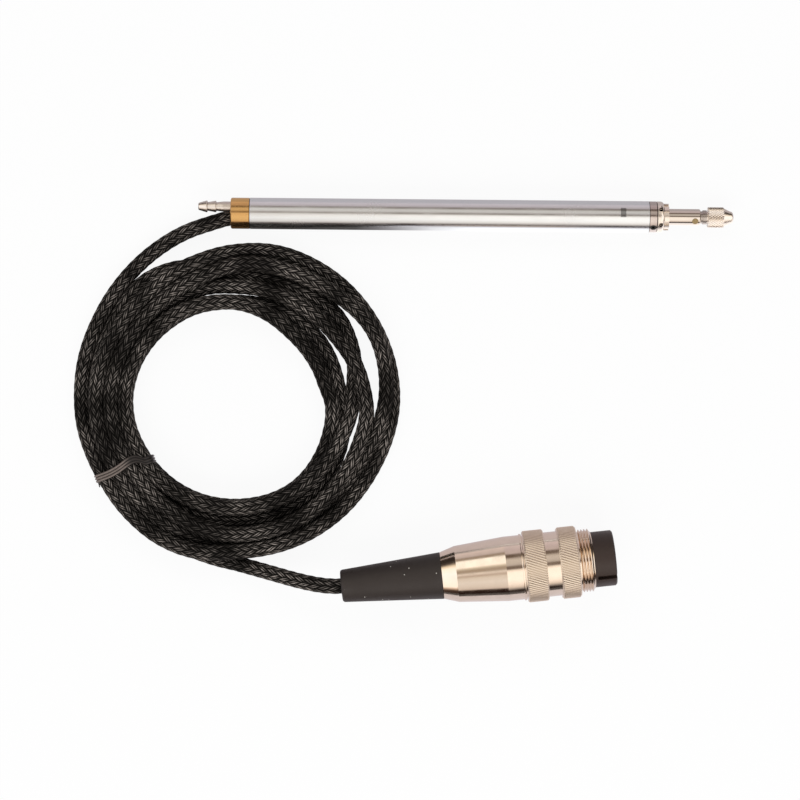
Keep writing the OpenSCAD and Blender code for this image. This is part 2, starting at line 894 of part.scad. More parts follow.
module cable_collet() {
    slit = 0.8;
    color("#d9d4c4")
        at_connector()
            difference() {
                along_x(collet_rear, collet_rear + collet_length, collet_d);
                along_x(collet_rear - 1, collet_rear + collet_length + 1, cable_d + 4 * seat);
                for (i = [0 : 1])
                    radial(collet_rear + collet_length, 45 + 90 * i)
                        translate([-collet_length / 2, -slit / 2, -collet_d])
                            cube([collet_length, slit, 2 * collet_d]);
            }
}

module front_shell() {
    plain_r = shell_d / 2;
    grip_r = grip_d / 2;
    bevel = 0.45;
    root_r = thread_d / 2 - 0.5;
    color("#c9b99a")
        at_connector()
            difference() {
                turned([
                    [grip_end - shell_join, 0], [grip_end - shell_join, shell_join_d / 2],
                    [grip_end, shell_join_d / 2], [grip_end, plain_r], [neck_end, plain_r],
                    [neck_end, grip_r], [front_grip_end - bevel, grip_r], [front_grip_end, grip_r - bevel],
                    [front_grip_end, root_r], [thread_rear, root_r], [thread_rear, thread_d / 2],
                    [thread_end, thread_d / 2], [thread_end, root_r - 0.2], [shell_end, root_r - 0.2],
                    [shell_end, 0]
                ]);
                along_x(grip_end - shell_join - 1, shell_end + 1, insert_body_d + 2 * seat);
            }
}

// Puts one copy at each contact's place on the insert
module at_contacts() {
    for (i = [-2 : 2])
        rotate([-keyway_side - 180 - 60 * i, 0, 0])
            translate([0, 0, contact_circle_d / 2])
                children();
}

module contact_insert() {
    body_r = insert_body_d / 2;
    head_r = insert_d / 2;
    bevel = 0.35;
    color("#262020")
        at_connector()
            difference() {
                turned([
                    [insert_rear, 0], [insert_rear, body_r], [shell_end, body_r], [shell_end, head_r],
                    [insert_end - bevel, head_r], [insert_end, head_r - bevel], [insert_end, 0]
                ]);
                at_contacts() {
                    along_x(insert_rear - 1, insert_end - socket_in, socket_d + 2 * seat);
                    along_x(insert_rear, insert_end + 1, socket_bore_d + 0.1);
                }
                radial(shell_end + keyway_rear, keyway_side)
                    translate([0, -keyway_w / 2, head_r - 1])
                        cube([insert_reach, keyway_w, 3]);
            }
}

module insert_ring() {
    color("#b6a888")
        at_connector()
            difference() {
                along_x(insert_rear - insert_ring_t, insert_rear, insert_body_d - 0.1);
                along_x(insert_rear - insert_ring_t - 1, insert_rear + 1, contact_circle_d + socket_d + 0.4);
            }
}

module socket_contacts() {
    rear = insert_rear - cup_length;
    front = insert_end - socket_in - seat;
    color("#c7a35a")
        at_connector()
            at_contacts()
                difference() {
                    along_x(rear, front, socket_d);
                    along_x(front - socket_depth, front + 1, socket_bore_d);
                    along_x(rear - 1, rear + cup_length - cup_floor, socket_bore_d);
                }
}

module connector_wires() {
    wire_t = 0.9;
    cup = insert_rear - cup_length;
    // Where the straight end of a wire starts, and how far it reaches into its cup
    bend = cup - 2;
    wire_in = 1.5;
    fan = 1.35;
    color("#a33b32")
        at_connector()
            for (i = [-2 : 2])
                rotate([-keyway_side - 180 - 60 * i, 0, 0]) {
                    bar([wire_start, 0, fan], [bend, 0, contact_circle_d / 2], wire_t);
                    translate([bend, 0, contact_circle_d / 2])
                        sphere(d = wire_t, $fn = 24);
                    translate([0, 0, contact_circle_d / 2])
                        along_x(bend, cup + wire_in, wire_t);
                }
}

stem_tube();
rear_cap();
cable_seal();
cable_jacket();
air_barb();
termination_board();
signal_wires();
coil_bobbin();
winding_front();
winding_rear();
magnetic_shield();
moving_core();
core_rod();
spring_seat();
return_spring();
plunger();
piston_seal();
stop_washer();
guide_bush();
ball_cage();
guide_balls();
collar();
collar_screw();
nose_nut();
rod_wiper();
notched_ring();
lock_plug();
lock_ring();
contact_tip();
cable_lead();
cable_coil();
cable_tail();
cable_tie();
boot();
back_shell();
cable_collet();
front_shell();
contact_insert();
insert_ring();
socket_contacts();
connector_wires();
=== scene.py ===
"""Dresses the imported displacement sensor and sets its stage. Laid out as an add-on, and run as a script."""
import math

import bmesh
import bpy
from bpy.props import FloatProperty, FloatVectorProperty, IntProperty, PointerProperty
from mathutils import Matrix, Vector, kdtree


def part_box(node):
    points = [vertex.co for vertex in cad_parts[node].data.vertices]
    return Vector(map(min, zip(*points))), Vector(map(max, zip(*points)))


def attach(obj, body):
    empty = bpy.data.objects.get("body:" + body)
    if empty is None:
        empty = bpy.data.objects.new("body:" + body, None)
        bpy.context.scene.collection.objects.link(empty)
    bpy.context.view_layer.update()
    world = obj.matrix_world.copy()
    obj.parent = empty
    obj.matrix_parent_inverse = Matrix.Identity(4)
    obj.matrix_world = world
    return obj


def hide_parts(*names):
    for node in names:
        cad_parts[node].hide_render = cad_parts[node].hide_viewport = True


bl_info = {
    "name": "Displacement sensor",
    "version": (1, 0, 0),
    "blender": (4, 5, 0),
    "location": "3D View > Sidebar > Sensor",
    "description": "Cable, tie, knurls and finishes of a pen-type displacement sensor",
    "category": "Object",
}

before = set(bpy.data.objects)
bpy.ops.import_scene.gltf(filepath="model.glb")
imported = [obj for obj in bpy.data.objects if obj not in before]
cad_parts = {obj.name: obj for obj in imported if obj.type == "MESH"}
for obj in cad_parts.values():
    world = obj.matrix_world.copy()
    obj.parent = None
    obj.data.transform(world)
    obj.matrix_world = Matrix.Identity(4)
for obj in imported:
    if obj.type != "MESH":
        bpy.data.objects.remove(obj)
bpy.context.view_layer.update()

MM = 0.001
SURFACE = -0.004  # the height of the surface that the sensor lies on
# Where the camera looks straight down, its turn, and the middle of the lit place
VIEW = (-0.06322, -0.04747)
VIEW_TURN = math.radians(0.517)
MIDDLE = (-0.06, -0.045)

# The connector's axis from the boot's rear end, and its turn from the stem's direction
CONNECTOR = Vector((-0.0777, -0.0949, 0.0051))
CONNECTOR_TURN = math.radians(6.5)

# The free stretches of cable, as the solids have them, in mm
LEAD = [
    (-105.9, -1.2, -1.15), (-107.5, -1.2, -1.15), (-112, -2.5, -1.4), (-118, -4.6, -1.8),
    (-123.5, -7.6, -2), (-129, -11.8, -2), (-134, -17, -2), (-138, -22.8, -2),
]
TAIL = [
    (-118.4, -85.3, -2), (-111.5, -88.2, -2), (-104, -90, -1.4), (-96, -92, 0.5),
    (-88.5, -93.8, 3), (-82.5, -94.8, 4.6),
]
COIL_CENTRE = (-105.1, -48.2)
# Where the coil's strand lies, read off the view from above: the angle round the coil's centre,
# which counts on from turn to turn, the radius, and the height of the strand's middle over the surface, in mm
COIL = [
    # The outermost turn: from the lead up over the strand below it, and down along the right side
    (151.4, 41.1, 2), (165, 40.7, 2), (180, 40.2, 2.2), (190, 39.8, 3.2), (202, 39.2, 4.6), (212, 38.8, 5.2),
    (228, 39.6, 5.4), (240, 40.1, 5.7), (248, 40, 6), (258, 39.5, 6), (270, 38.5, 6), (298, 38.2, 5.4),
    (312, 37.8, 4.2), (327, 37.7, 3), (339, 38.5, 2), (348, 39.3, 2), (360, 40, 2), (386, 40.2, 2),
    (407, 40.1, 2), (420, 39.9, 2.2), (435, 39.6, 2.8), (447, 38.8, 3.6), (457, 37.8, 4.8), (464, 37.2, 5.8),
    (475, 36.6, 6), (490, 35.8, 6), (511, 35.5, 6),
    # The second turn: under the first at the bottom, over the pair at the right
    (540, 35.9, 6), (572, 35.2, 6), (588, 35.6, 5.1), (600, 36.1, 4.4), (610, 36.4, 3.2), (618, 36.5, 2.3),
    (630, 36.5, 2), (653, 36.1, 2.4), (675, 35.8, 3), (696, 35.6, 4), (706, 36.5, 5), (720, 38.1, 5.5),
    (736, 39.2, 5.8), (747, 39.4, 6), (755, 38.8, 6), (764.5, 37.7, 6), (780, 36.4, 6), (795, 35.7, 6),
    (810, 35.1, 6), (824, 33.5, 6), (850, 31.9, 6), (871, 31.4, 6),
    # The third turn stays on top, and comes down inside the others
    (900, 31.9, 6), (923, 31.4, 6), (932, 31.2, 6), (949, 31.8, 6), (960, 32.5, 6), (970, 33.2, 6),
    (990, 34, 6), (1035, 33.7, 6.3), (1060, 33.7, 6.3), (1076, 33.7, 6.2), (1085, 32.9, 6), (1098, 31.9, 6),
    (1112, 30.5, 5.3), (1125, 30, 4.9), (1140, 29.5, 4.5), (1170, 29.5, 4.2), (1190, 30.3, 3),
    (1210, 30.6, 2), (1231, 31.5, 2),
    # The fourth turn lies on the surface
    (1260, 32, 2), (1292, 31.5, 2), (1350, 31, 2), (1381, 30.8, 2), (1397, 30.3, 2), (1415, 29.3, 2),
    (1428, 28, 2), (1440, 27, 2), (1450, 26.5, 2), (1478, 26.3, 2), (1500, 26.1, 2), (1530, 25.5, 2),
    (1570, 27, 2),
    # The fifth turn is the innermost, and climbs at the right
    (1620, 28.6, 2), (1652, 27.9, 2), (1710, 26.6, 2), (1743, 26.8, 2.2), (1767, 26, 3.4), (1787, 25.3, 4.8),
    (1800, 24.5, 5.2), (1810, 23.2, 4.9), (1820, 22.8, 4.6), (1840, 22.5, 4.7), (1857, 22.8, 5.2),
    (1890, 25.2, 6), (1930, 27.1, 6),
    # The sixth turn crosses outwards at the right, down to the surface
    (1980, 28.6, 6), (2012, 28, 6), (2070, 27.2, 6), (2115, 27.3, 6), (2140, 28, 6), (2152, 28.9, 5.3),
    (2160, 29.2, 3.8), (2170, 30.3, 2.6), (2180, 31.9, 2), (2190, 33.1, 2), (2200, 33.9, 2), (2209, 33.8, 2),
    (2218, 33.1, 2), (2230, 32.6, 2), (2244, 32.3, 2), (2250, 32.3, 2), (2258, 33.3, 2), (2266, 35.6, 2),
    (2274, 37.4, 2), (2282, 38.4, 2), (2290, 38.8, 2), (2302, 38, 2), (2311, 37.2, 2), (2325, 36.6, 2),
    # The way out passes under the outermost turn to the connector
    (2340, 36.2, 2), (2360, 36.3, 2), (2372, 36.4, 2), (2382, 37.3, 2), (2391, 38.1, 2), (2400, 38.8, 2),
]
CABLE_SIDES = 40
STEPS_A_STITCH = 4
# Where the tie crosses the bundle, from its outer to its inner side, in mm
TIE_LINE = ((-141.5, -68.7), (-124.9, -62.5))

# The connector's two shells as (place along the axis, radius), and one turn of the thread as (share of its
# pitch, radius), in mm
REAR_SHELL = [
    (20.1, 2.2), (20.1, 3.8), (25.6, 3.8), (25.6, 5.85), (25.7, 5.95), (29.2, 7.06), (29.4, 7.14),
    (42.0, 8.2), (46.0, 8.2), (46.05, 8.42), (46.15, 8.47), (46.5, 8.47), (46.6, 8.4), (46.6, 7.85),
    (46.9, 7.85), (46.9, 8.75), (52.2, 8.75), (52.2, 7.12), (47.6, 7.12), (47.6, 6.2), (36.9, 6.2),
    (36.9, 4.52), (28.0, 4.52), (28.0, 2.2),
]
FRONT_SHELL = [
    (47.6, 6.42), (47.6, 7.1), (52.2, 7.1), (52.2, 8.2), (55.6, 8.2), (55.6, 8.7), (60.5, 8.7), (60.5, 7.4),
    (60.9, 7.4),
]
FRONT_EDGE = [(64.0, 7.3), (64.2, 7.2), (64.2, 6.42)]
THREAD_TURN = [(0, 7.5), (0.3, 7.95), (0.42, 8.0), (0.54, 7.95), (0.86, 7.5)]
THREAD_TURNS = 4
GRIP_RADIUS = 9.1

# The nut's radius, the middle of its spanner holes along the stem and their radius, the first hole's turn
# from the top and the turn from hole to hole
NUT_RADIUS = 0.00397
NUT_HOLES = 0.00295
HOLE_RADIUS = 0.00054
NUT_TURN = 25
HOLE_TURN = 60

# What the metal mirrors, from the -Y side at 0 over the top to the +Y side at 1: on level walls, on the
# shell's taper and on steep cones
LEVEL = [
    (0, "#241d1b"), (1, "#c4b9bb"), (0.045, "#2c2422"), (0.08, "#948d88"), (0.13, "#d8cdc3"),
    (0.2, "#f4ece3"), (0.3, "#fffaf2"), (0.44, "#fff8ef"), (0.48, "#e4dbd0"), (0.51, "#665a51"),
    (0.55, "#6e6259"), (0.585, "#b5aea7"), (0.68, "#bfb8b0"), (0.71, "#a9a198"), (0.745, "#5e5147"),
    (0.79, "#63574f"), (0.825, "#b5aaa9"), (0.9, "#b4a9ab"),
]
LEANING = [
    (0, "#1f1512"), (1, "#c9bdbb"), (0.095, "#2a1c18"), (0.13, "#c4b9b1"), (0.17, "#cdc5bd"),
    (0.29, "#d6d1cb"), (0.39, "#ccc4ba"), (0.43, "#aa9c8f"), (0.48, "#d9d0c8"), (0.52, "#9c9080"),
    (0.56, "#9e9182"), (0.6, "#c6bcab"), (0.635, "#fffaf0"), (0.78, "#fffcf4"), (0.81, "#968a7c"),
    (0.85, "#8a7e72"), (0.885, "#b6acaa"),
]
STEEP = [
    (0, "#33261f"), (1, "#6a5c58"), (0.075, "#43352f"), (0.125, "#bfa896"), (0.17, "#fff9f0"),
    (0.5, "#ffffff"), (0.66, "#fff6ea"), (0.725, "#dccfb8"), (0.765, "#8a7f72"), (0.8, "#4a423d"),
    (0.88, "#2c2622"), (0.97, "#2c2622"),
]
MIRRORED_LIGHT = 1.45
# Painted reflections: what the metal mirrors of the surface, by the place's Y in metres, and the painted
# highlight, brighter than white, that it mirrors close by
ON_FLOOR = [
    (-0.168, "#2a201c"), (0.05, "#c4bdc0"), (-0.152, "#e6e0e6"), (-0.1, "#e6e0e6"), (-0.085, "#d3c9cd"),
    (-0.05, "#d3c9cd"), (0, "#c4bdc0"),
]
CLOSE_BY = (1.45, 1.43, 1.43, 1)


def linear(colour):
    """An sRGB hex colour as linear red, green, blue and 1."""
    parts = [int(colour[i:i + 2], 16) / 255 for i in (1, 3, 5)]
    return tuple(p / 12.92 if p <= 0.04045 else ((p + 0.055) / 1.055) ** 2.4 for p in parts) + (1,)


def darker(colour, share):
    """A colour at a share of its brightness."""
    return tuple(share * c for c in tuple(colour)[:3]) + (1,)


def feed(tree, value, place):
    """Sets an input to a value, or links a socket or a node's first output to it."""
    if isinstance(value, bpy.types.Node):
        value = next(out for out in value.outputs if out.enabled)
    if isinstance(value, bpy.types.NodeSocket):
        tree.links.new(value, place)
    else:
        place.default_value = value


def add(tree, kind, *values, stops=(), **named):
    """Adds a node. The values go to its inputs in order, a keyword with a capital is an input by name, and
    the others are the node's settings. The stops are the places and hex colours of a ramp."""
    made = tree.nodes.new("ShaderNode" + kind)
    for name, value in named.items():
        if not name[0].isupper():
            setattr(made, name, value)
    for place, value in zip([place for place in made.inputs if place.enabled], values):
        feed(tree, value, place)
    for name, value in named.items():
        if name[0].isupper():
            feed(tree, value, made.inputs[name])
    for i, (at, colour) in enumerate(stops):
        stop = made.color_ramp.elements[i] if i < 2 else made.color_ramp.elements.new(at)
        stop.position = at
        stop.color = linear(colour)
    return made


def finish_named(name, **sockets):
    """A new material, its node tree and its shader, with the shader's sockets set."""
    made = bpy.data.materials.new(name)
    made.use_nodes = True
    tree = made.node_tree
    shader = tree.nodes["Principled BSDF"]
    for socket, value in sockets.items():
        shader.inputs[socket.replace("_", " ")].default_value = value
    return made, tree, shader


def ridged(tree, groove, ridge):
    """A colour from the groove's painted shade to the ridge's, by the ridge number that the points carry."""
    number = add(tree, "Attribute", attribute_name="ridge").outputs["Fac"]
    return add(tree, "Mix", add(tree, "MapRange", number, 0.2, 0.75), groove, ridge, data_type="RGBA")


def skin(tree, shader, colour, relief, strength, depth, cloud=None, gloss=()):
    """Gives a shader its colour, a fine relief, and a roughness that goes with a cloudy pattern."""
    feed(tree, colour, shader.inputs["Base Color"])
    feed(tree, add(tree, "Bump", strength, depth, Height=relief), shader.inputs["Normal"])
    if gloss:
        feed(tree, add(tree, "MapRange", cloud, 0.3, 0.7, *gloss), shader.inputs["Roughness"])


def wear(nodes, material):
    """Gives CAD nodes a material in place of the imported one."""
    for name in nodes:
        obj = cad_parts[name]
        if not obj.material_slots:
            obj.data.materials.append(material)
        for held in obj.material_slots:
            held.material = material


def start_clean():
    """Leaves edit mode and deselects everything."""
    if bpy.context.object and bpy.context.object.mode != "OBJECT":
        bpy.ops.object.mode_set(mode="OBJECT")
    bpy.ops.object.select_all(action="DESELECT")


def take(piece):
    """Selects one piece alone and makes it the active one."""
    start_clean()
    piece.select_set(True)
    bpy.context.view_layer.objects.active = piece


def settle(piece):
    """Puts a finished piece's place into its mesh."""
    take(piece)
    bpy.ops.object.transform_apply(location=True, rotation=True, scale=True)


def join_into(piece, others):
    """Makes the others a part of the piece."""
    take(piece)
    for other in others:
        other.select_set(True)
    bpy.ops.object.join()


def piece_of(shape, name):
    """Makes a piece of a mesh that was built point by point."""
    mesh = bpy.data.meshes.new(name)
    shape.to_mesh(mesh)
    shape.free()
    piece = bpy.data.objects.new(name, mesh)
    bpy.context.collection.objects.link(piece)
    return piece


def mm(outline):
    """An outline in mm, in metres."""
    return [(x * MM, r * MM) for x, r in outline]


def ring_at(name, place, radius, sides):
    """A circle across X as a new piece, in edit mode and selected all over."""
    start_clean()
    bpy.ops.mesh.primitive_circle_add(
        vertices=sides, radius=radius, location=(place, 0, 0), rotation=(0, math.pi / 2, 0)
    )
    piece = bpy.context.object
    piece.name = name
    bpy.ops.object.transform_apply(location=True, rotation=True, scale=True)
    bpy.ops.object.mode_set(mode="EDIT")
    bpy.ops.mesh.select_all(action="SELECT")
    return piece


def pull(length):
    """Extrudes what is selected along X."""
    bpy.ops.mesh.extrude_region_move(TRANSFORM_OT_translate={"value": (length, 0, 0)})


def widen(x, share):
    """Scales what is selected across X."""
    bpy.ops.transform.resize(value=(1, share, share), center_override=(x, 0, 0))


def turned(name, outline, sides=128, closed=True):
    """A circle that is extruded and scaled from one (place, radius) to the next along X."""
    place, radius = outline[0]
    piece = ring_at(name, place, radius, sides)
    for x, r in outline[1:]:
        pull(x - place)
        widen(x, r / radius)
        place, radius = x, r
    if closed:
        bpy.ops.mesh.select_all(action="DESELECT")
        bpy.ops.mesh.select_non_manifold(
            extend=False, use_wire=False, use_multi_face=False, use_non_contiguous=False, use_verts=False
        )
        bpy.ops.mesh.bridge_edge_loops()
    bpy.ops.mesh.select_all(action="SELECT")
    bpy.ops.mesh.normals_make_consistent(inside=False)
    bpy.ops.object.mode_set(mode="OBJECT")
    return piece


def on_connector(piece):
    """Moves a piece that was made along X onto the connector's axis."""
    piece.rotation_euler.z = CONNECTOR_TURN
    piece.location = CONNECTOR
    settle(piece)


def along_connector(t):
    """The point on the connector's axis that far from the boot's rear end."""
    return CONNECTOR + Vector((math.cos(CONNECTOR_TURN), math.sin(CONNECTOR_TURN), 0)) * t


def clipped(value):
    """A number held between 0 and 1."""
    return max(0, min(1, value))


def line_length(line):
    return sum((b - a).length for a, b in zip(line, line[1:]))


def even(line, step):
    """The same line with its points the same distance apart, about a step."""
    total = line_length(line)
    count = max(2, round(total / step))
    gap = total / count
    out = [line[0].copy()]
    travelled, wanted = 0.0, gap
    for a, b in zip(line, line[1:]):
        length = (b - a).length
        while length > 0 and travelled + length >= wanted - 1e-12 and len(out) < count:
            out.append(a.lerp(b, (wanted - travelled) / length))
            wanted += gap
        travelled += length
    out.append(line[-1].copy())
    return out


def smooth_line(points, step):
    """Points every step along a smooth line through the given ones."""
    line = []
    last = len(points) - 1
    pieces = 12
    for i in range(last):
        a, b, c, d = points[max(i - 1, 0)], points[i], points[i + 1], points[min(i + 2, last)]
        for k in range(pieces):
            t = k / pieces
            line.append(
                0.5 * ((2 * b) + (c - a) * t + (2 * a - 5 * b + 4 * c - d) * t**2
                       + (3 * b - a - 3 * c + d) * t**3)
            )
    line.append(points[-1])
    return even(line, step)


def between(knots, at):
    """The radius and the height at an angle, smoothly between the nearest knots."""
    i = max(k for k in range(len(knots) - 1) if knots[k][0] <= at)
    a, b = knots[i], knots[i + 1]
    before, after = knots[max(i - 1, 0)], knots[min(i + 2, len(knots) - 1)]
    span = b[0] - a[0]
    t = (at - a[0]) / span
    out = []
    for n in (1, 2):
        slope_a = (b[n] - before[n]) / (b[0] - before[0]) * span
        slope_b = (after[n] - a[n]) / (after[0] - a[0]) * span
        out.append(
            (2 * t**3 - 3 * t**2 + 1) * a[n] + (t**3 - 2 * t**2 + t) * slope_a
            + (3 * t**2 - 2 * t**3) * b[n] + (t**3 - t**2) * slope_b
        )
    return out


def coil_points(floor):
    """Points along the coil's turns, about every 6 degrees, in mm."""
    cx, cy = COIL_CENTRE
    first, last = COIL[0][0], COIL[-1][0]
    steps = round((last - first) / 6)
    points = []
    for k in range(steps + 1):
        angle = first + (last - first) * k / steps
        radius, height = between(COIL, angle)
        way = math.radians(angle)
        points.append(Vector((cx + radius * math.cos(way), cy + radius * math.sin(way), floor + height)))
    return points


def push_apart(line, shift, touching):
    """Adds to the shifts what moves strands out of each other, and near ones together as in a tied coil."""
    near, neighbours = 0.4, 8
    tree = kdtree.KDTree(len(line))
    for i, p in enumerate(line):
        tree.insert(p, i)
    tree.balance()
    for i, p in enumerate(line):
        for q, j, gap in tree.find_range(p, touching + near):
            if j > i + neighbours and gap > 1e-6:
                push = (p - q) / gap * (touching - gap) * (0.3 if gap < touching else 0.012)
                shift[i] += push
                shift[j] -= push


def cable_line(cable_d):
    """The cable's middle line from the cap, round the coil and into the boot, in metres."""
    floor = SURFACE / MM
    points = [Vector(p) for p in LEAD] + coil_points(floor) + [Vector(p) for p in TAIL]
    points += [along_connector(t * MM) / MM for t in (0, 6, 12, 18)]
    bare = smooth_line(points, 1.25)
    shift = [Vector((0, 0, 0)) for _ in bare]
    # The first 22 mm from the cap and the last 42 mm, part of them in the boot, stay where the solids are
    start, end, fade = 18, len(bare) - 34, 12
    # Strands that touch press 0.2 mm into each other's braid
    touching, rounds = cable_d - 0.2, 120
    tie_a, tie_b = (Vector(p) for p in TIE_LINE)
    tie_middle, across = (tie_a + tie_b) / 2, (tie_b - tie_a).normalized()
    along = Vector((-across.y, across.x))
    for _ in range(rounds):
        push_apart([p + d for p, d in zip(bare, shift)], shift, touching)
        # The moves are smoothed along the cable
        held = [d.copy() for d in shift]
        for i in range(1, len(bare) - 1):
            shift[i] = held[i].lerp((held[i - 1] + held[i + 1]) / 2, 0.5)
        for i, p in enumerate(bare):
            shift[i] *= clipped(min((i - start) / fade, (end - i) / fade))
            # No strand goes into the surface, and the tie under the bundle lifts it by half a millimetre
            flat = (p + shift[i]).to_2d() - tie_middle
            lift = 0.5 * max(0, 1 - abs(flat.dot(along)) / 7) ** 2 if flat.length < 14 else 0
            if start < i < end:
                shift[i].z = max(shift[i].z, floor + cable_d / 2 + lift - p.z)
    return [(p + d) * MM for p, d in zip(bare, shift)]


def rings_along(line, step):
    """Places, and the two directions across the line, every step along it, with as little twist as can be."""
    places = even(line, step)
    last = len(places) - 1
    way = (places[1] - places[0]).normalized()
    side = way.orthogonal().normalized()
    rings = []
    for i, place in enumerate(places):
        ahead = (places[min(i + 1, last)] - places[max(i - 1, 0)]).normalized()
        side = way.rotation_difference(ahead) @ side
        side = (side - ahead * side.dot(ahead)).normalized()
        way = ahead
        rings.append((place, side, ahead.cross(side)))
    return rings


def braid_height(u, v):
    """How far the braid stands up at u yarns round and v stitches along, from 0 to 1."""
    a, b = v + u, v - u
    i, j = math.floor(a + 1e-6), math.floor(b + 1e-6)
    fa, fb = a - i, b - j
    row = (i - j) % 4
    if row < 2:
        across, ahead = fa, (fb + 1 - row) / 2
    else:
        across, ahead = fb, (fa + row - 2) / 2
    return max(0, math.sin(math.pi * across)) * max(0, math.sin(math.pi * ahead)) ** 0.5


def tube_mesh(name, rings, radius_at, around, v_step):
    """A closed tube through rings, with a UV map that counts yarns round and stitches along."""
    shape = bmesh.new()
    uv = shape.loops.layers.uv.new("yarns")
    per_side = around / CABLE_SIDES
    loops = []
    for n, (place, side, up) in enumerate(rings):
        ring = []
        for k in range(CABLE_SIDES):
            turn = 2 * math.pi * k / CABLE_SIDES
            out = side * math.cos(turn) + up * math.sin(turn)
            ring.append(shape.verts.new(place + out * radius_at(k * per_side, n * v_step)))
        loops.append(ring)
    for n in range(len(loops) - 1):
        for k in range(CABLE_SIDES):
            corners = ((n, k), (n, k + 1), (n + 1, k + 1), (n + 1, k))
            face = shape.faces.new([loops[a][b % CABLE_SIDES] for a, b in corners])
            face.smooth = True
            for corner, (a, b) in zip(face.loops, corners):
                corner[uv].uv = (b * per_side, a * v_step)
    for ring in (loops[0][::-1], loops[-1]):
        shape.faces.new(ring)
    return piece_of(shape, name)


class SensorCable(bpy.types.PropertyGroup):
    """Sizes and colours of the braided cable and its tie"""

    diameter: FloatProperty(
        name="Diameter", description="Diameter over the braid", default=0.004, min=0.0038, max=0.0041,
        unit="LENGTH",
    )
    yarns: IntProperty(
        name="Yarns", description="Yarns that run each way round the cable", default=10, min=8, max=16, step=2
    )
    stitch: FloatProperty(
        name="Stitch", description="Length of one stitch of the braid", default=0.0026, min=0.002, max=0.004,
        unit="LENGTH",
    )
    relief: FloatProperty(
        name="Relief", description="How far the yarns stand over the gaps", default=0.00016, min=0,
        max=0.0003, unit="LENGTH",
    )
    # The yarn's lit colour is a painted sheen; the yarn itself is black
    yarn_sheen_colour: FloatVectorProperty(
        name="Yarn", description="Colour of the yarn where it is lit", default=linear("#aaa098"), size=4,
        min=0, max=1, subtype="COLOR",
    )
    # The tie's colour on top of its ribs, a painted highlight
    tie_highlight_colour: FloatVectorProperty(
        name="Tie", description="Colour of the tie", default=linear("#7e726b"), size=4, min=0, max=1,
        subtype="COLOR",
    )
    tie_width: FloatProperty(
        name="Tie width", description="Width of the tie's ribbed part", default=0.0021, min=0.0015, max=0.003,
        unit="LENGTH",
    )


class SensorConnector(bpy.types.PropertyGroup):
    """Sizes and colours of the connector"""

    grooves: IntProperty(name="Grooves", description="Grooves round a grip ring", default=84, min=80, max=160)
    groove_depth: FloatProperty(
        name="Groove depth", description="Depth of a grip ring's grooves", default=0.00005, min=0, max=0.0002,
        unit="LENGTH",
    )
    groove_lean: FloatProperty(
        name="Lean", description="How far the grooves lean from the axis", default=math.radians(24), min=0,
        max=math.radians(45), subtype="ANGLE",
    )
    thread_pitch: FloatProperty(
        name="Thread pitch", description="From one crest of the thread to the next", default=0.00075,
        min=0.0005, max=0.001, unit="LENGTH",
    )
    shell_colour: FloatVectorProperty(
        name="Shell", description="Colour of the nickel plating", default=linear("#ecdccc"), size=4,
        min=0, max=1, subtype="COLOR",
    )
    boot_colour: FloatVectorProperty(
        name="Boot", description="Colour of the rubber", default=linear("#2b2421"), size=4, min=0, max=1,
        subtype="COLOR",
    )
    insert_colour: FloatVectorProperty(
        name="Insert", description="Colour of the insert", default=linear("#2f221d"), size=4, min=0, max=1,
        subtype="COLOR",
    )


class SensorStem(bpy.types.PropertyGroup):
    """Sizes and colours of the stem, its cap and its contact"""

    diamonds: IntProperty(
        name="Diamonds", description="Diamonds round the contact's knurl", default=28, min=16, max=40
    )
    diamond_height: FloatProperty(
        name="Diamond height", description="Height of a diamond of the knurl", default=0.00016, min=0,
        max=0.0003, unit="LENGTH",
    )
    tube_colour: FloatVectorProperty(
        name="Tube", description="Colour of the drawn tube", default=linear("#e6e9ec"), size=4, min=0, max=1,
        subtype="COLOR",
    )
    nose_colour: FloatVectorProperty(
        name="Nose", description="Colour of the turned pieces at the front", default=linear("#ece2d8"),
        size=4, min=0, max=1, subtype="COLOR",
    )
    cap_colour: FloatVectorProperty(
        name="Cap", description="Colour of the cap's plating", default=linear("#e6b878"), size=4, min=0,
        max=1, subtype="COLOR",
    )


class SensorStage(bpy.types.PropertyGroup):
    """The camera, the lamps and the surface"""

    camera_height: FloatProperty(
        name="Camera height", description="Height of the camera over the surface", default=0.67, min=0.2,
        max=3, unit="LENGTH",
    )
    lens: FloatProperty(name="Lens", description="Focal length in mm", default=117, min=35, max=300)
    key: FloatProperty(
        name="Key lamp", description="Power of the large lamp", default=4.5, min=0, unit="POWER"
    )
    fill: FloatProperty(
        name="Fill lamp", description="Power of the lamp across from it", default=2.2, min=0, unit="POWER"
    )
    sky: FloatProperty(name="Surroundings", description="Light from all round", default=0.45, min=0, max=2)


def place_camera(look):
    """The camera looks straight down, as in the photo."""
    start_clean()
    bpy.ops.object.camera_add(location=(*VIEW, SURFACE + look.camera_height), rotation=(0, 0, VIEW_TURN))
    camera = bpy.context.object
    camera.data.lens = look.lens
    camera.data.sensor_width = 36
    camera.data.clip_start = 0.01
    bpy.context.scene.camera = camera


def place_lamps(look):
    """Two large soft lamps, across from each other. Metal mirrors the surroundings, and not the lamps."""
    target = Vector((*MIDDLE, 0))
    for name, place, size, power in (
        ("key lamp", (-0.05, -0.62, 0.55), (1.1, 0.5), look.key),
        ("fill lamp", (-0.07, 0.52, 0.6), (1.1, 0.4), look.fill),
    ):
        start_clean()
        bpy.ops.object.light_add(type="AREA", location=place)
        lamp = bpy.context.object
        lamp.name = name
        lamp.data.shape = "RECTANGLE"
        lamp.data.size, lamp.data.size_y = size
        lamp.data.energy = power
        lamp.visible_glossy = False
        lamp.rotation_euler = (target - Vector(place)).to_track_quat("-Z", "Y").to_euler()


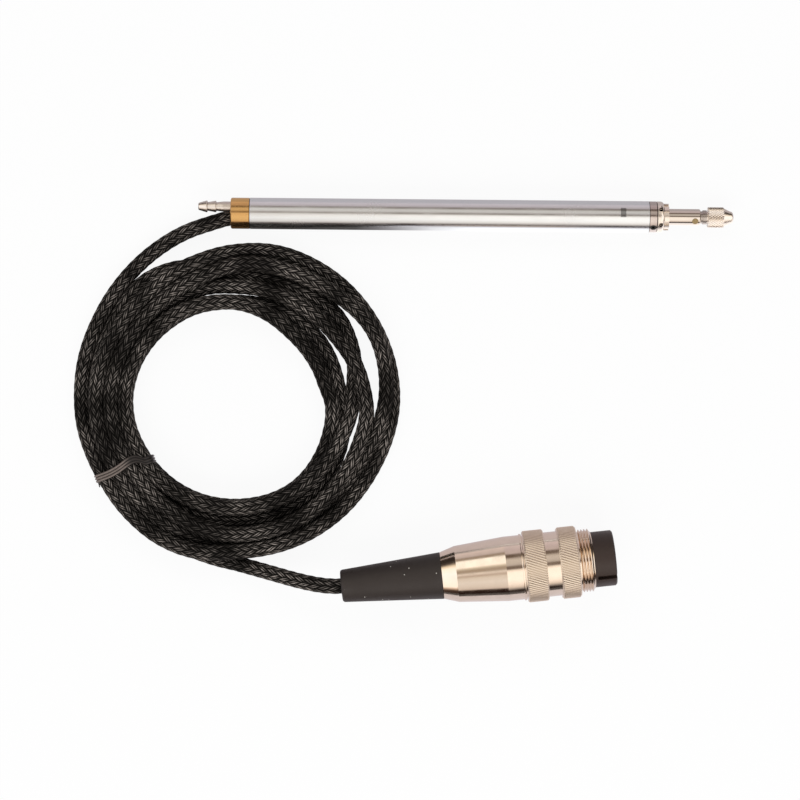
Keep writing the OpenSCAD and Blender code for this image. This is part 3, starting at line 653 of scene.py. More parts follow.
def pale_world(look):
    """The surroundings: white to the eye, pale light on matt pieces, and banded tones in bright metal."""
    world = bpy.data.worlds.new("pale surroundings")
    bpy.context.scene.world = world
    world.use_nodes = True
    tree = world.node_tree
    tree.nodes.clear()
    white = linear("#ffffff")
    seen = add(tree, "LightPath").outputs
    x, y, z = add(tree, "SeparateXYZ", add(tree, "TexCoord").outputs["Generated"]).outputs
    # The angle from straight up, from -Y at 0 to +Y at 1
    angle = add(tree, "Math", y, z, operation="ARCTAN2")
    place = add(tree, "MapRange", angle, -math.pi / 2, math.pi / 2)
    level, leaning, steep = (add(tree, "ValToRGB", place, stops=tones) for tones in (LEVEL, LEANING, STEEP))
    # How far the mirrored way leans along the connector, against the way that the mirroring wall itself
    # leans: a wall across the view sends it straight up, a wall seen from the side sends it sideways
    lean = add(tree, "Math", y, math.sin(CONNECTOR_TURN), x, operation="MULTIPLY_ADD")
    upright = add(tree, "Math", z, 0.5, 0.5, operation="MULTIPLY_ADD", use_clamp=True)
    facing = add(tree, "Math", upright, operation="SQRT")
    on_taper = add(tree, "Math", facing, 0.1, lean, operation="MULTIPLY_ADD")
    on_cone = add(tree, "Math", facing, 0.37, lean, operation="MULTIPLY_ADD")
    taper = add(tree, "MapRange", on_taper, 0.035, 0.025)
    cone = add(tree, "MapRange", on_cone, 0.035, 0.01)
    forward = add(tree, "MapRange", lean, 0.3, 0.4)
    steeply = add(tree, "Math", cone, forward, operation="MAXIMUM")
    near = add(tree, "Mix", taper, level, leaning, data_type="RGBA")
    bands = add(tree, "Mix", steeply, near, steep, data_type="RGBA")
    plain = add(tree, "Background", white, look.sky)
    mirrored = add(tree, "Background", bands, MIRRORED_LIGHT)
    glossy = add(tree, "MixShader", seen["Is Glossy Ray"], plain, mirrored)
    clear = add(tree, "Math", seen["Is Camera Ray"], seen["Is Transmission Ray"], operation="MAXIMUM")
    shown = add(tree, "MixShader", clear, glossy, add(tree, "Background", white, 1.0))
    add(tree, "OutputWorld", shown)


def board_finish():
    # Matt white board: it shows as the white surroundings do, and keeps a little of the shadow; to the metal
    # it shows painted reflection tones instead of white
    made, tree, shader = finish_named("matt white board", Base_Color=linear("#f2f2f2"), Roughness=0.9)
    seen = add(tree, "LightPath").outputs
    direct = add(tree, "Math", seen["Is Camera Ray"], seen["Is Glossy Ray"], operation="MAXIMUM")
    clear = add(tree, "Math", direct, seen["Is Transmission Ray"], operation="MAXIMUM")
    shine = add(tree, "Math", clear, 0.92, operation="MULTIPLY")
    x, y, _ = add(tree, "SeparateXYZ", add(tree, "TexCoord").outputs["Object"]).outputs
    first, last = ON_FLOOR[0][0], ON_FLOOR[1][0]
    row = add(tree, "MapRange", y, first, last)
    stops = [((at - first) / (last - first), tone) for at, tone in ON_FLOOR]
    tones = add(tree, "ValToRGB", row, stops=stops)
    # Painted highlight: close under the stem's -Y side the board mirrors brighter than white
    strip = add(tree, "MapRange", seen["Ray Length"], 0.04, 0.033)
    beside = add(tree, "MapRange", y, 0.0, -0.003)
    beyond = add(tree, "MapRange", y, -0.04, -0.03)
    ahead = add(tree, "MapRange", x, -0.07, -0.045)
    for limit in (beside, beyond, ahead):
        strip = add(tree, "Math", strip, limit, operation="MULTIPLY")
    lit = add(tree, "Mix", strip, tones, CLOSE_BY, data_type="RGBA")
    # Where the coil shades it, it mirrors dark
    shade = add(tree, "MapRange", x, -0.055, -0.075)
    close = add(tree, "MapRange", y, -0.03, -0.02)
    for limit in (beside, close):
        shade = add(tree, "Math", shade, limit, operation="MULTIPLY")
    shaded = add(tree, "Mix", shade, lit, linear("#433d3a"), data_type="RGBA")
    tone = add(tree, "Mix", seen["Is Glossy Ray"], linear("#ffffff"), shaded, data_type="RGBA")
    glow = add(tree, "Emission", tone, 1.0)
    feed(tree, add(tree, "MixShader", shine, shader, glow), tree.nodes["Material Output"].inputs[0])
    return made


class SENSOR_OT_stage(bpy.types.Operator):
    """Add the camera, the lamps and the pale surface"""

    bl_idname = "sensor.stage"
    bl_label = "Stage"

    def execute(self, context):
        look = context.scene.sensor_stage
        place_camera(look)
        place_lamps(look)
        pale_world(look)
        start_clean()
        bpy.ops.mesh.primitive_plane_add(size=6, location=(*MIDDLE, SURFACE))
        floor = context.object
        floor.name = "surface"
        settle(floor)
        floor.data.materials.append(board_finish())
        context.scene.view_settings.view_transform = "Standard"
        return {"FINISHED"}


def braid_finish(look):
    # Braided polyester yarn over a round cord: black, with a painted sheen along each stitch and fine ends in
    # it
    made, tree, shader = finish_named("braided black polyester", Roughness=0.5, Specular_IOR_Level=0.02)
    u, v, _ = add(tree, "SeparateXYZ", add(tree, "UVMap", uv_map="yarns")).outputs
    # The yarns that run each way: their numbers, and how far across the one and along the other a place is
    a, b = (add(tree, "Math", v, u, operation=way) for way in ("ADD", "SUBTRACT"))
    i, j = (add(tree, "Math", place, operation="FLOOR") for place in (a, b))
    fa = add(tree, "Math", a, i, operation="SUBTRACT")
    fb = add(tree, "Math", b, j, operation="SUBTRACT")
    row = add(tree, "Math", add(tree, "Math", i, j, operation="SUBTRACT"), 4.0, operation="FLOORED_MODULO")
    under = add(tree, "Math", row, 1.5, operation="GREATER_THAN")
    # Across the yarn that lies on top, and along its stitch
    across = add(tree, "Mix", under, fa, fb, data_type="FLOAT")
    first_row = add(tree, "Math", 1.0, row, operation="SUBTRACT")
    last_row = add(tree, "Math", row, 2.0, operation="SUBTRACT")
    start = add(tree, "Mix", under, first_row, last_row, data_type="FLOAT")
    other = add(tree, "Mix", under, fb, fa, data_type="FLOAT")
    ahead = add(tree, "Math", add(tree, "Math", other, start, operation="ADD"), 0.5, operation="MULTIPLY")
    humps = []
    for way, power in ((across, 0.3), (ahead, 0.45)):
        half_turn = add(tree, "Math", way, math.pi, operation="MULTIPLY")
        wave = add(tree, "Math", half_turn, operation="SINE")
        humps.append(add(tree, "Math", wave, power, operation="POWER"))
    stitch = add(tree, "Math", *humps, operation="MULTIPLY")
    # The ends in a yarn are 0.3 mm apart; two are drawn, twice as wide, so that they show
    full_turn = add(tree, "Math", across, 2 * math.pi, operation="MULTIPLY")
    ends = add(tree, "Math", add(tree, "Math", full_turn, operation="SINE"), operation="ABSOLUTE")
    over_gaps = add(tree, "Math", ends, 0.88, operation="MULTIPLY")
    raised = add(tree, "Math", 0.12, over_gaps, operation="ADD")
    height = add(tree, "Math", raised, stitch, operation="MULTIPLY")
    # Painted sheen: the colour is brightest on top of the ends and falls off fast into the gaps, which stay
    # black as painted shade
    lit = add(tree, "Math", height, 3.4, operation="POWER")
    # The painted sheen differs from end to end at random
    first_end = add(tree, "Math", add(tree, "Math", across, 2.0, operation="MULTIPLY"), operation="FLOOR")
    half_yarn = add(tree, "Math", first_end, 0.5, operation="MULTIPLY")
    yarn = add(tree, "Math", i, half_yarn, operation="ADD")
    chance = add(tree, "TexWhiteNoise", add(tree, "CombineXYZ", yarn, j, under), noise_dimensions="3D")
    lit = add(tree, "Math", lit, add(tree, "Math", 0.3, chance, operation="ADD"), operation="MULTIPLY")
    # Painted light and shade: the sheen is darker in patches of about a centimetre, and a little brighter in
    # others
    uneven = add(tree, "TexNoise", add(tree, "TexCoord").outputs["Object"], Scale=110.0, Detail=3.0)
    patchy_shade = add(tree, "MapRange", uneven, 0.38, 0.62, 0.25, 1.2)
    shade = add(tree, "Math", lit, patchy_shade, operation="MULTIPLY", use_clamp=True)
    yarn_sheen_colour = tuple(look.yarn_sheen_colour)
    colour = add(tree, "Mix", shade, darker(yarn_sheen_colour, 0.008), yarn_sheen_colour, data_type="RGBA")
    skin(tree, shader, colour, height, 1.0, 0.00022)
    return made


class SENSOR_OT_cable(bpy.types.Operator):
    """Lay the braided cable from the cap, round its coil and into the boot"""

    bl_idname = "sensor.cable"
    bl_label = "Braided cable"

    def execute(self, context):
        look = context.scene.sensor_cable
        line = cable_line(look.diameter / MM)
        top = look.diameter / 2

        def radius_at(u, v):
            return top - look.relief * (1 - braid_height(u, v))

        rings = rings_along(line, look.stitch / STEPS_A_STITCH)
        cable = tube_mesh("braided_cable", rings, radius_at, look.yarns, 1 / STEPS_A_STITCH)
        cable.data.materials.append(braid_finish(look))
        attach(cable, "housing")
        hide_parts("cable_lead", "cable_coil", "cable_tail")
        context.scene["cable_line"] = [c for p in line for c in p]
        return {"FINISHED"}


def strands_at_tie(line, outer, across, along, width):
    """Where the strands pass under the tie: how far across the bundle from its outer side, and how high."""
    margin, fewest = 0.004, 5
    centres = []
    for p, q in zip(line, line[1:]):
        u, v = (p.to_2d() - outer).dot(along), (q.to_2d() - outer).dot(along)
        if u * v <= 0 and u != v:
            cut = p.lerp(q, u / (u - v))
            place = (cut.to_2d() - outer).dot(across)
            if -margin < place < width + margin:
                centres.append(Vector((place, cut.z)))
    if len(centres) < fewest:
        raise RuntimeError("the tie doesn't cross the coil")
    return centres


def hull_round(centres, radius, lowest):
    """The line that a strip takes round some strands: points across and up, and the way outwards at each."""
    ways, count = 240, 150
    out = []
    for k in range(ways):
        turn = 2 * math.pi * k / ways
        way = Vector((math.cos(turn), math.sin(turn)))
        point = max(centres, key=lambda c: c.dot(way)) + way * radius
        point.y = max(point.y, lowest)
        out.append(point)
    length = line_length(out + out[:1])
    places = even([Vector((p.x, p.y, 0)) for p in out + out[:1]], length / count)[:-1]
    ends = []
    for n, p in enumerate(places):
        way = (places[(n + 1) % len(places)] - places[n - 1]).normalized()
        ends.append((p.to_2d(), Vector((way.y, -way.x))))
    return ends


def tie_profile(thick, wide, inner, on_top):
    """The strip's section as (place across it, height, ridge number): three ribs, which flatten towards
    the coil's inner side, and a flat back."""
    ribs, columns = 3, 18
    profile = []
    for k in range(columns + 1):
        w = k / columns
        rib = abs(math.sin(math.pi * ribs * w)) ** 0.7 * (1 - 0.6 * wide)
        height = thick * (0.35 + 0.8 * rib) + 0.00025 * wide * math.sin(math.pi * w)
        # The ridge number sets the painted highlight; it is lower on the flat wide part and on the inner
        # part's sides away from the top, as painted shade
        profile.append((w - 0.5, height, rib * (1 - 0.3 * wide) * (1 - inner * (1 - on_top))))
    return profile + [(0.5 - k / 3, 0, 0) for k in range(4)]


def tie_strip(centres, ring_points, outer, across, along, tie_width):
    """The closed strip round the strands, which bows along the coil on top."""
    left, right = min(c.x for c in centres), max(c.x for c in centres)
    thick, bow_most = 0.00042, 0.0015
    shape = bmesh.new()
    ridge = shape.verts.layers.float.new("ridge")
    loops = []
    for point, out in ring_points:
        t = (point.x - left) / (right - left)
        on_top = clipped(out.y * 2)
        bow = bow_most * math.sin(math.pi * clipped(t) ** 2.4) * on_top
        inner = clipped((t - 0.5) / 0.22)
        wide = inner * on_top
        width = tie_width * (1 + 0.1 * wide)
        verts = []
        for w, h, number in tie_profile(thick, wide, inner, on_top):
            place = point + out * h
            flat = outer + across * place.x + along * (w * width + bow)
            verts.append(shape.verts.new((flat.x, flat.y, place.y)))
            verts[-1][ridge] = number
        loops.append(verts)
    for n, verts in enumerate(loops):
        following = loops[(n + 1) % len(loops)]
        for k in range(len(verts)):
            after = (k + 1) % len(verts)
            face = shape.faces.new([verts[k], verts[after], following[after], following[k]])
            face.smooth = True
    bmesh.ops.recalc_face_normals(shape, faces=shape.faces)
    return piece_of(shape, "ribbed_tie")


def tie_end(ring_points, outer, across, along):
    """The strip's free end, a short tab that sticks out at the coil's outer side and narrows to its tip."""
    start_clean()
    rim = min(ring_points, key=lambda held: held[0].x)[0]
    place = outer + across * (rim.x - 0.0001) + along * -0.0012
    bpy.ops.mesh.primitive_cube_add(size=1, location=(place.x, place.y, SURFACE + 0.0035))
    end = bpy.context.object
    end.scale = (0.0005, 0.0022, 0.0016)
    end.rotation_euler = (0, math.radians(12), math.atan2(across.y, across.x) - math.radians(8))
    settle(end)
    bpy.ops.object.mode_set(mode="EDIT")
    bpy.ops.mesh.select_all(action="DESELECT")
    bpy.ops.object.mode_set(mode="OBJECT")
    for face in end.data.polygons:
        face.select = face.normal.dot(Vector((-along.x, -along.y, 0))) > 0.8
    bpy.ops.object.mode_set(mode="EDIT")
    bpy.ops.transform.resize(value=(0.4, 0.4, 0.4))
    bpy.ops.mesh.select_all(action="SELECT")
    bpy.ops.mesh.bevel(offset=0.00012, segments=2)
    bpy.ops.object.mode_set(mode="OBJECT")
    return end


def tie_finish(look):
    # Flexible PVC over a wire, extruded flat: dark grey, with a painted highlight on its ribs and painted
    # shade in its grooves and on its sides away from the top
    made, tree, shader = finish_named("extruded PVC strip", Roughness=0.32, Specular_IOR_Level=0.25)
    grain = add(tree, "TexNoise", add(tree, "TexCoord").outputs["Object"], Scale=900.0, Detail=3.0)
    tie_highlight_colour = tuple(look.tie_highlight_colour)
    on_ribs = add(tree, "Mix", grain, darker(tie_highlight_colour, 0.7), tie_highlight_colour, data_type="RGBA")
    # Painted highlight and shade: the ribs' tops take the lit colour, the grooves and the sides away from the
    # top near black
    skin(tree, shader, ridged(tree, linear("#0f0c0c"), on_ribs), grain, 0.25, 0.00005)
    return made


class SENSOR_OT_tie(bpy.types.Operator):
    """Wrap the ribbed strip round the coil"""

    bl_idname = "sensor.tie"
    bl_label = "Cable tie"

    def execute(self, context):
        look = context.scene.sensor_cable
        if "cable_line" not in context.scene:
            raise RuntimeError("the cable is laid before its tie")
        flat = list(context.scene["cable_line"])
        line = [Vector(flat[i:i + 3]) for i in range(0, len(flat), 3)]
        outer, inner = (Vector(p) * MM for p in TIE_LINE)
        across = (inner - outer).normalized()
        along = Vector((-across.y, across.x))
        centres = strands_at_tie(line, outer, across, along, (inner - outer).length)
        # The strip presses into the braid a little, and stays just over the surface
        ring_points = hull_round(centres, look.diameter / 2 - 0.00006, SURFACE + 0.00003)
        strip = tie_strip(centres, ring_points, outer, across, along, look.tie_width)
        join_into(strip, [tie_end(ring_points, outer, across, along)])
        strip.data.materials.clear()
        strip.data.materials.append(tie_finish(look))
        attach(strip, "housing")
        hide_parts("cable_tie")
        return {"FINISHED"}


def grip_ring(name, start, end, radius, bevel, look):
    """A knurled ring along X whose grooves lean from its axis."""
    # The real knurl is finer; it is drawn as coarse as it needs to show
    teeth = look.grooves
    steps = 10
    piece = ring_at(name, start, radius - bevel, 2 * teeth)
    full = end - start - 2 * bevel
    lean = -math.tan(look.groove_lean) / radius
    wider = radius / (radius - bevel)
    pull(bevel)
    widen(start + bevel, wider)
    x = start + bevel
    for _ in range(steps):
        pull(full / steps)
        x += full / steps
        bpy.ops.transform.rotate(value=lean * full / steps, orient_axis="X", center_override=(x, 0, 0))
    pull(bevel)
    widen(end, 1 / wider)
    bpy.ops.object.mode_set(mode="OBJECT")
    # Every second line of the barrel is a groove
    ridge = piece.data.attributes.new("ridge", "FLOAT", "POINT")
    for vertex in piece.data.vertices:
        ridge.data[vertex.index].value = 1
        if start + bevel / 2 < vertex.co.x < end - bevel / 2 and vertex.index % (2 * teeth) % 2:
            flat = Vector((0, vertex.co.y, vertex.co.z))
            vertex.co -= flat.normalized() * look.groove_depth * 2
            ridge.data[vertex.index].value = 0
    return piece


def shell_finish(look, knurled):
    # Brass with bright nickel plating: a warm mirror with the lathe's fine rings in it, satin on the knurls
    made, tree, shader = finish_named(
        "nickel-plated knurled brass" if knurled else "nickel-plated turned brass", Metallic=1.0
    )
    where = add(tree, "TexCoord").outputs["Object"]
    on_axis = add(tree, "Mapping", where, tuple(-c for c in CONNECTOR), vector_type="POINT")
    turned_to = add(tree, "Mapping", on_axis, Rotation=(0, 0, -CONNECTOR_TURN), vector_type="POINT")
    # Turning marks are about 0.1 mm apart; they are drawn 0.2 mm apart, so that they show
    rings = add(tree, "Mapping", turned_to, Scale=(5000, 160, 160), vector_type="POINT")
    marks = add(tree, "TexNoise", rings, Scale=1.0, Detail=2.0)
    patches = add(tree, "TexNoise", where, Scale=420.0, Detail=4.0)
    if knurled:
        # Painted shade: the knurl's grooves are a darker colour than their ridges
        colour = ridged(tree, linear("#cab8a4"), linear("#eddecd"))
    else:
        plating = tuple(look.shell_colour)
        colour = add(tree, "Mix", patches, plating, darker(plating, 0.86), data_type="RGBA")
    gloss = (0.4, 0.5) if knurled else (0.08, 0.17)
    skin(tree, shader, colour, marks, 0.12, 0.00002, patches, gloss)
    return made


class SENSOR_OT_shells(bpy.types.Operator):
    """Turn the connector's two shells with their knurled grips and the thread"""

    bl_idname = "sensor.shells"
    bl_label = "Connector shells"

    def execute(self, context):
        look = context.scene.sensor_connector
        plain, knurled = shell_finish(look, False), shell_finish(look, True)
        pitch = look.thread_pitch / MM
        thread = []
        for n in range(THREAD_TURNS):
            at = FRONT_SHELL[-1][0] + 0.06 + n * pitch
            thread += [(at + share * pitch, radius) for share, radius in THREAD_TURN]
        threaded = FRONT_SHELL + thread + FRONT_EDGE
        for name, outline, grip_name, start, end, bevel, node in (
            ("rear_shell", REAR_SHELL, "rear_grip", 46.9, 52.2, 0.32, "back_shell"),
            ("front_shell_threaded", threaded, "front_grip", 55.6, 60.5, 0.42, "front_shell"),
        ):
            piece = turned(name, mm(outline))
            piece.data.materials.append(plain)
            grip = grip_ring(grip_name, start * MM, end * MM, GRIP_RADIUS * MM, bevel * MM, look)
            grip.data.materials.append(knurled)
            take(piece)
            bpy.ops.object.shade_smooth_by_angle(angle=math.radians(4))
            join_into(piece, [grip])
            on_connector(piece)
            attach(piece, "housing")
            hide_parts(node)
        return {"FINISHED"}


def contact_body(rear, front, low, radius, knurl, core):
    """The turned contact, from its threaded pin over the knurl's barrel to the rounded tip."""
    piece = turned("knurled_contact", [
        (low, 0.02 * MM), (low, 1.25 * MM), (14.8 * MM, 1.25 * MM), (14.8 * MM, 1.55 * MM), (rear, 1.55 * MM),
        (rear, radius - 0.3 * MM), (rear + 0.12 * MM, core), (rear + knurl - 0.1 * MM, core),
        (rear + knurl, radius - 0.2 * MM), (front - 1.0 * MM, 1.62 * MM), (front - 0.7 * MM, 1.55 * MM),
        (front - 0.42 * MM, 1.44 * MM), (front - 0.2 * MM, 1.2 * MM), (front - 0.07 * MM, 0.85 * MM),
        (front, 0.4 * MM), (front, 0.02 * MM),
    ], sides=96, closed=False)
    bpy.ops.object.mode_set(mode="EDIT")
    bpy.ops.mesh.select_all(action="SELECT")
    bpy.ops.mesh.fill_holes(sides=0)
    bpy.ops.mesh.normals_make_consistent(inside=False)
    bpy.ops.object.mode_set(mode="OBJECT")
    bpy.ops.object.shade_smooth_by_angle(angle=math.radians(28))
    return piece


def knurl_diamonds(rear, radius, knurl, core, look):
    """The knurl's diamonds, one modelled and copied in staggered rows round the barrel."""
    around = look.diamonds
    wide = 2 * math.pi * radius / around
    tall = wide / math.tan(math.radians(35))
    rows = 2 * int((knurl - 0.3 * MM) / tall) + 1
    first = rear + knurl / 2 - (rows - 1) / 2 * tall / 2
    start_clean()
    bpy.ops.mesh.primitive_cone_add(vertices=4, radius1=0.5, radius2=0.1, depth=look.diamond_height)
    diamond = bpy.context.object
    diamond.scale = (tall * 0.98, wide * 0.98, 1)
    diamond.location.z = core + look.diamond_height / 2 - 0.01 * MM
    settle(diamond)
    copies = []
    for row in range(rows):
        for i in range(around):
            copy = diamond.copy()
            copy.data = diamond.data.copy()
            bpy.context.collection.objects.link(copy)
            copy.rotation_euler.x = 2 * math.pi * (i + row % 2 / 2) / around
            copy.location.x = first + row * tall / 2
            copies.append(copy)
    bpy.data.objects.remove(diamond)
    return copies


class SENSOR_OT_contact(bpy.types.Operator):
    """Turn the contact and cut its diamond knurl"""

    bl_idname = "sensor.contact"
    bl_label = "Knurled contact"

    def execute(self, context):
        look = context.scene.sensor_stem
        low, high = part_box("contact_tip")
        # The knurl's rear end, radius and length, and the barrel's radius under its diamonds
        rear, radius, knurl = 15.3 * MM, 2.65 * MM, 3.7 * MM
        core = radius - 0.17 * MM
        piece = contact_body(rear, high[0], low[0], radius, knurl, core)
        join_into(piece, knurl_diamonds(rear, radius, knurl, core, look))
        settle(piece)
        piece.data.materials.clear()
        # Knurled and turned hard steel: satin, with bright edges on the diamonds
        piece.data.materials.append(steel_finish("knurled and turned steel", look.nose_colour, 0.22, 0.4))
        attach(piece, "plunger")
        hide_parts("contact_tip")
        return {"FINISHED"}


def steel_finish(name, colour, smooth, rough, marks=4000, strength=0.15, seams=()):
    """Turned metal along X: fine rings from the tool, cloudy duller patches, and grime in the seams."""
    made, tree, shader = finish_named(name, Metallic=1.0)
    where = add(tree, "TexCoord").outputs["Object"]
    # The rings are about 0.1 mm apart; they are drawn up to 0.25 mm apart, so that they show
    stretched = add(tree, "Mapping", where, Scale=(marks, 300, 300), vector_type="POINT")
    rings = add(tree, "TexNoise", stretched, Scale=1.0, Detail=2.0)
    cloud = add(tree, "TexNoise", where, Scale=300.0, Detail=4.0)
    clean = add(tree, "Mix", cloud, tuple(colour), darker(colour, 0.88), data_type="RGBA")
    for seam in seams:
        grime = add(tree, "Math", add(tree, "SeparateXYZ", where), seam * MM, 0.0001, operation="COMPARE")
        clean = add(tree, "Mix", grime, clean, linear("#3b3230"), data_type="RGBA")
    skin(tree, shader, clean, rings, strength, 0.00002, cloud, (smooth, rough))
    return made


def shade_in_holes(made):
    """Blackens the inside of the nut's six spanner holes of 1 mm, as painted shade."""
    tree = made.node_tree
    base = tree.nodes["Principled BSDF"].inputs["Base Color"]
    below = base.links[0].from_socket
    x, y, z = add(tree, "SeparateXYZ", add(tree, "TexCoord").outputs["Object"]).outputs
    turn = add(tree, "Math", y, z, operation="ARCTAN2")
    from_first = add(tree, "Math", turn, math.radians(NUT_TURN - HOLE_TURN / 2), operation="SUBTRACT")
    in_share = add(tree, "Math", from_first, math.radians(HOLE_TURN), operation="FLOORED_MODULO")
    off = add(tree, "Math", in_share, math.radians(HOLE_TURN / 2), operation="SUBTRACT")
    arc = add(tree, "Math", off, NUT_RADIUS, operation="MULTIPLY")
    along = add(tree, "Math", x, NUT_HOLES, operation="SUBTRACT")
    where = add(tree, "CombineXYZ", along, arc)
    away = add(tree, "VectorMath", where, operation="LENGTH")
    inside = add(tree, "Math", away, HOLE_RADIUS, operation="LESS_THAN")
    feed(tree, add(tree, "Mix", inside, below, linear("#060404"), data_type="RGBA"), base)


def tube_finish(colour):
    # Drawn and ground tube: a soft satin with streaks along it, and a few handling marks
    made, tree, shader = finish_named("drawn satin steel", Metallic=1.0)
    where = add(tree, "TexCoord").outputs["Object"]
    # The streaks are finer than 0.1 mm; they are drawn 0.6 mm wide, so that they show
    along = add(tree, "Mapping", where, Scale=(25, 1600, 1600), vector_type="POINT")
    streaks = add(tree, "TexNoise", along, Scale=1.0, Detail=3.0)
    cloud = add(tree, "TexNoise", where, Scale=130.0, Detail=5.0)
    satin = add(tree, "Mix", streaks, tuple(colour), darker(colour, 0.9), data_type="RGBA")
    # A plain etched mark on top near the front, 1.4 by 2.4 mm
    x, y, z = add(tree, "SeparateXYZ", where).outputs
    by_length = add(tree, "Math", x, -0.0067, 0.0007, operation="COMPARE")
    by_side = add(tree, "Math", y, 0.0008, 0.0012, operation="COMPARE")
    above = add(tree, "Math", z, 0.0, operation="GREATER_THAN")
    faint = by_length
    for factor in (by_side, above, 0.85):
        faint = add(tree, "Math", faint, factor, operation="MULTIPLY")
    etched = add(tree, "Mix", faint, satin, linear("#868889"), data_type="RGBA")
    skin(tree, shader, etched, streaks, 0.08, 0.00003, cloud, (0.19, 0.28))
    return made


def moulded_finish(name, colour, low, high, grain, strength, specular=0.5, dust=False):
    """Moulded rubber or plastic: a fine grain, a cloudy gloss between two roughnesses, and some dust."""
    made, tree, shader = finish_named(name, Specular_IOR_Level=specular)
    where = add(tree, "TexCoord").outputs["Object"]
    fine = add(tree, "TexNoise", where, Scale=grain, Detail=4.0)
    cloud = add(tree, "TexNoise", where, Scale=180.0, Detail=3.0)
    last = add(tree, "Mix", fine, tuple(colour), darker(colour, 0.78), data_type="RGBA")
    if dust:
        spots = add(tree, "TexVoronoi", where, Scale=600.0)
        near = add(tree, "Math", spots, 0.08, operation="LESS_THAN")
        chance = add(tree, "SeparateColor", spots.outputs["Color"])
        few = add(tree, "Math", chance, 0.55, operation="GREATER_THAN")
        both = add(tree, "Math", near, few, operation="MULTIPLY")
        last = add(tree, "Mix", both, last, linear("#d8d2c8"), data_type="RGBA")
    skin(tree, shader, last, fine, strength, 0.00003, cloud, (low, high))
    return made


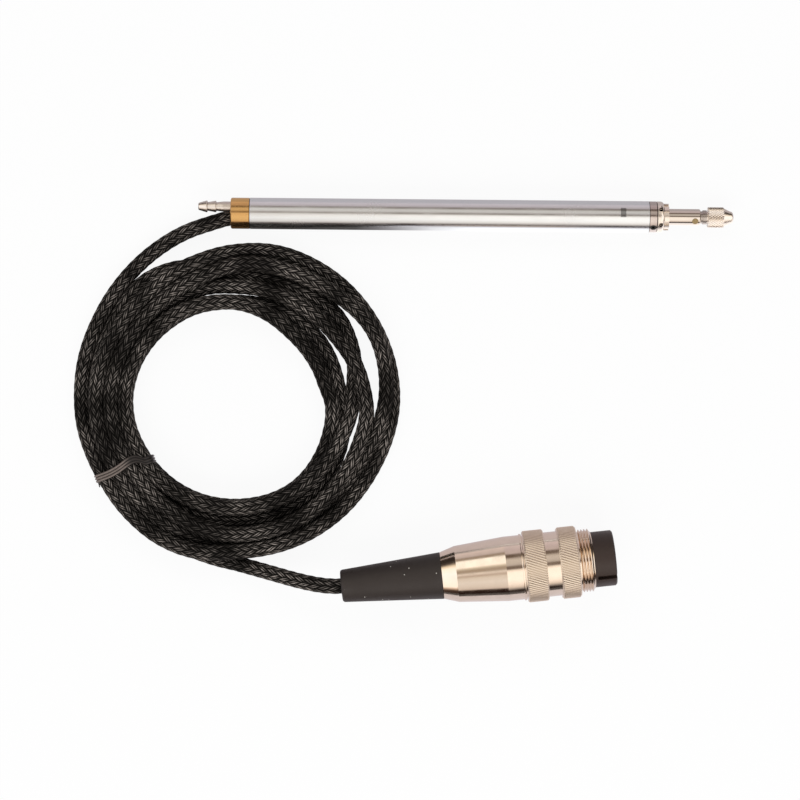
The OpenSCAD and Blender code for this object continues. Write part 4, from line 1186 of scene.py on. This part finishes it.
class SENSOR_OT_finishes(bpy.types.Operator):
    """Give the solids that are kept their real finishes"""

    bl_idname = "sensor.finishes"
    bl_label = "Finishes"

    def execute(self, context):
        stem, plug = context.scene.sensor_stem, context.scene.sensor_connector
        wear(["stem_tube"], tube_finish(stem.tube_colour))
        wear(["insert_ring"], shell_finish(plug, False))
        # Gold-coloured plating over turned brass: a warm satin mirror, with grime in a groove round it
        wear(["rear_cap"], steel_finish(
            "gold-plated turned brass", stem.cap_colour, 0.12, 0.22, marks=5000, strength=0.2,
            seams=(-102.05,),
        ))
        # Ground and lapped rod: nearly a mirror along its length
        wear(["plunger"], steel_finish(
            "ground hardened steel", linear("#ddd3ca"), 0.05, 0.1, marks=6000, strength=0.08
        ))
        # Wound enamelled wire: copper red, with a fine ridge for each turn
        wear(["winding_front", "winding_rear"], steel_finish(
            "enamelled copper wire", linear("#b4643a"), 0.25, 0.4, marks=9000, strength=0.8
        ))
        # The collar is a little darker and warmer, with dark joints at both ends
        wear(["collar"], steel_finish(
            "turned collar steel", linear("#c9bdb8"), 0.12, 0.22, seams=(0.04, 2.0)
        ))
        # Turned stainless steel: bright, with painted shade, black, in its spanner holes
        nut = steel_finish("turned stainless nut", stem.nose_colour, 0.16, 0.3)
        shade_in_holes(nut)
        wear(["nose_nut"], nut)
        for nodes, name, colour, smooth, rough in (
            # Fine-turned stainless steel: bright, with sharp edges
            (["notched_ring"], "turned stainless steel", stem.nose_colour, 0.16, 0.3),
            # Bright nickel over turned brass: a dull silver, a little warm
            (["air_barb"], "nickel-plated barb", linear("#ded5cd"), 0.26, 0.38),
            # Turned tool steel: grey, with a soft gloss
            (["lock_ring"], "turned tool steel", linear("#b5aca6"), 0.2, 0.34),
            # Turned bronze and nickel alloy: a dull yellowish grey
            (["core_rod", "spring_seat", "magnetic_shield"],
             "turned bronze and nickel alloy", linear("#b9ad97"), 0.25, 0.4),
            # Turned brass left bare: yellow, dulled by handling on the plug, brighter on the cage
            (["lock_plug"], "turned brass plug", linear("#b29e78"), 0.3, 0.45),
            (["ball_cage"], "turned brass cage", linear("#c9a45c"), 0.2, 0.35),
            # Hardened and ground bearing steel: a clean mirror
            (["guide_bush", "guide_balls"], "hardened bearing steel", linear("#cfd0d0"), 0.06, 0.14),
            # Annealed nickel iron: dark grey and matt from the oven
            (["moving_core"], "annealed nickel iron", linear("#6d6f72"), 0.4, 0.55),
            # Drawn spring wire: grey, with a soft gloss along it
            (["return_spring"], "drawn spring steel", linear("#9b9c9e"), 0.2, 0.35),
            # Gilt contacts: clear gold
            (["socket_contacts"], "gilt contact brass", linear("#d9ad5c"), 0.15, 0.25),
        ):
            wear(nodes, steel_finish(name, colour, smooth, rough))
        # Moulded black rubber: matt, with a brown cast where light grazes it, and some dust
        wear(["boot"], moulded_finish(
            "moulded black rubber", plug.boot_colour, 0.5, 0.62, 900.0, 0.3, specular=0.45, dust=True
        ))
        # Moulded phenolic insert: dark brown, a little glossy
        wear(["contact_insert"], moulded_finish(
            "moulded phenolic", plug.insert_colour, 0.42, 0.55, 1200.0, 0.15, specular=0.45
        ))
        for nodes, name, colour, low, high, grain, strength in (
            # Blackened steel screw with oil in its socket: nearly black, with a soft gloss
            (["collar_screw"], "blackened steel screw", linear("#1b1918"), 0.3, 0.45, 1500.0, 0.2),
            # Moulded nitrile rubber: black and matt
            (["cable_seal", "rod_wiper", "piston_seal"],
             "nitrile rubber", linear("#1d1c1c"), 0.45, 0.6, 1500.0, 0.2),
            # Extruded PVC: smooth dark grey
            (["cable_jacket"], "extruded PVC jacket", linear("#4c4c4e"), 0.4, 0.5, 800.0, 0.1),
            # Cast polyurethane: dark grey, a little waxy
            (["stop_washer"], "hard polyurethane", linear("#3a3a3b"), 0.4, 0.5, 900.0, 0.15),
            # Glass-fibre board: green resin over a fine weave
            (["termination_board"], "glass-fibre board", linear("#2f6b46"), 0.3, 0.45, 2600.0, 0.3),
            # Extruded PVC insulation: red and smooth
            (["signal_wires", "connector_wires"],
             "PVC wire insulation", linear("#b03a2e"), 0.3, 0.4, 600.0, 0.1),
            # Moulded nylon left in its own colour: a creamy white
            (["coil_bobbin", "cable_collet"],
             "natural nylon moulding", linear("#ddd6c4"), 0.35, 0.5, 900.0, 0.15),
        ):
            wear(nodes, moulded_finish(name, colour, low, high, grain, strength))
        return {"FINISHED"}


class SENSOR_PT_panel(bpy.types.Panel):
    """Sizes, colours and pieces of the sensor"""

    bl_idname = "SENSOR_PT_panel"
    bl_label = "Displacement sensor"
    bl_space_type = "VIEW_3D"
    bl_region_type = "UI"
    bl_category = "Sensor"

    def draw(self, context):
        scene = context.scene
        for title, held, operators in (
            ("Stage", scene.sensor_stage, ["sensor.stage"]),
            ("Cable", scene.sensor_cable, ["sensor.cable", "sensor.tie"]),
            ("Connector", scene.sensor_connector, ["sensor.shells"]),
            ("Stem", scene.sensor_stem, ["sensor.contact", "sensor.finishes"]),
        ):
            box = self.layout.box()
            box.label(text=title)
            for name in held.__annotations__:
                box.prop(held, name)
            for operator in operators:
                box.operator(operator)


GROUPS = {
    "sensor_stage": SensorStage,
    "sensor_cable": SensorCable,
    "sensor_connector": SensorConnector,
    "sensor_stem": SensorStem,
}
CLASSES = [
    SENSOR_OT_stage, SENSOR_OT_cable, SENSOR_OT_tie, SENSOR_OT_shells, SENSOR_OT_contact, SENSOR_OT_finishes,
    SENSOR_PT_panel,
]


def register():
    for name, group in GROUPS.items():
        bpy.utils.register_class(group)
        setattr(bpy.types.Scene, name, PointerProperty(type=group))
    for made in CLASSES:
        bpy.utils.register_class(made)


def unregister():
    for made in reversed(CLASSES):
        bpy.utils.unregister_class(made)
    for name, group in GROUPS.items():
        delattr(bpy.types.Scene, name)
        bpy.utils.unregister_class(group)


def main():
    register()
    bpy.ops.sensor.stage()
    bpy.ops.sensor.cable()
    bpy.ops.sensor.tie()
    bpy.ops.sensor.shells()
    bpy.ops.sensor.contact()
    bpy.ops.sensor.finishes()


if __name__ == "__main__":
    main()
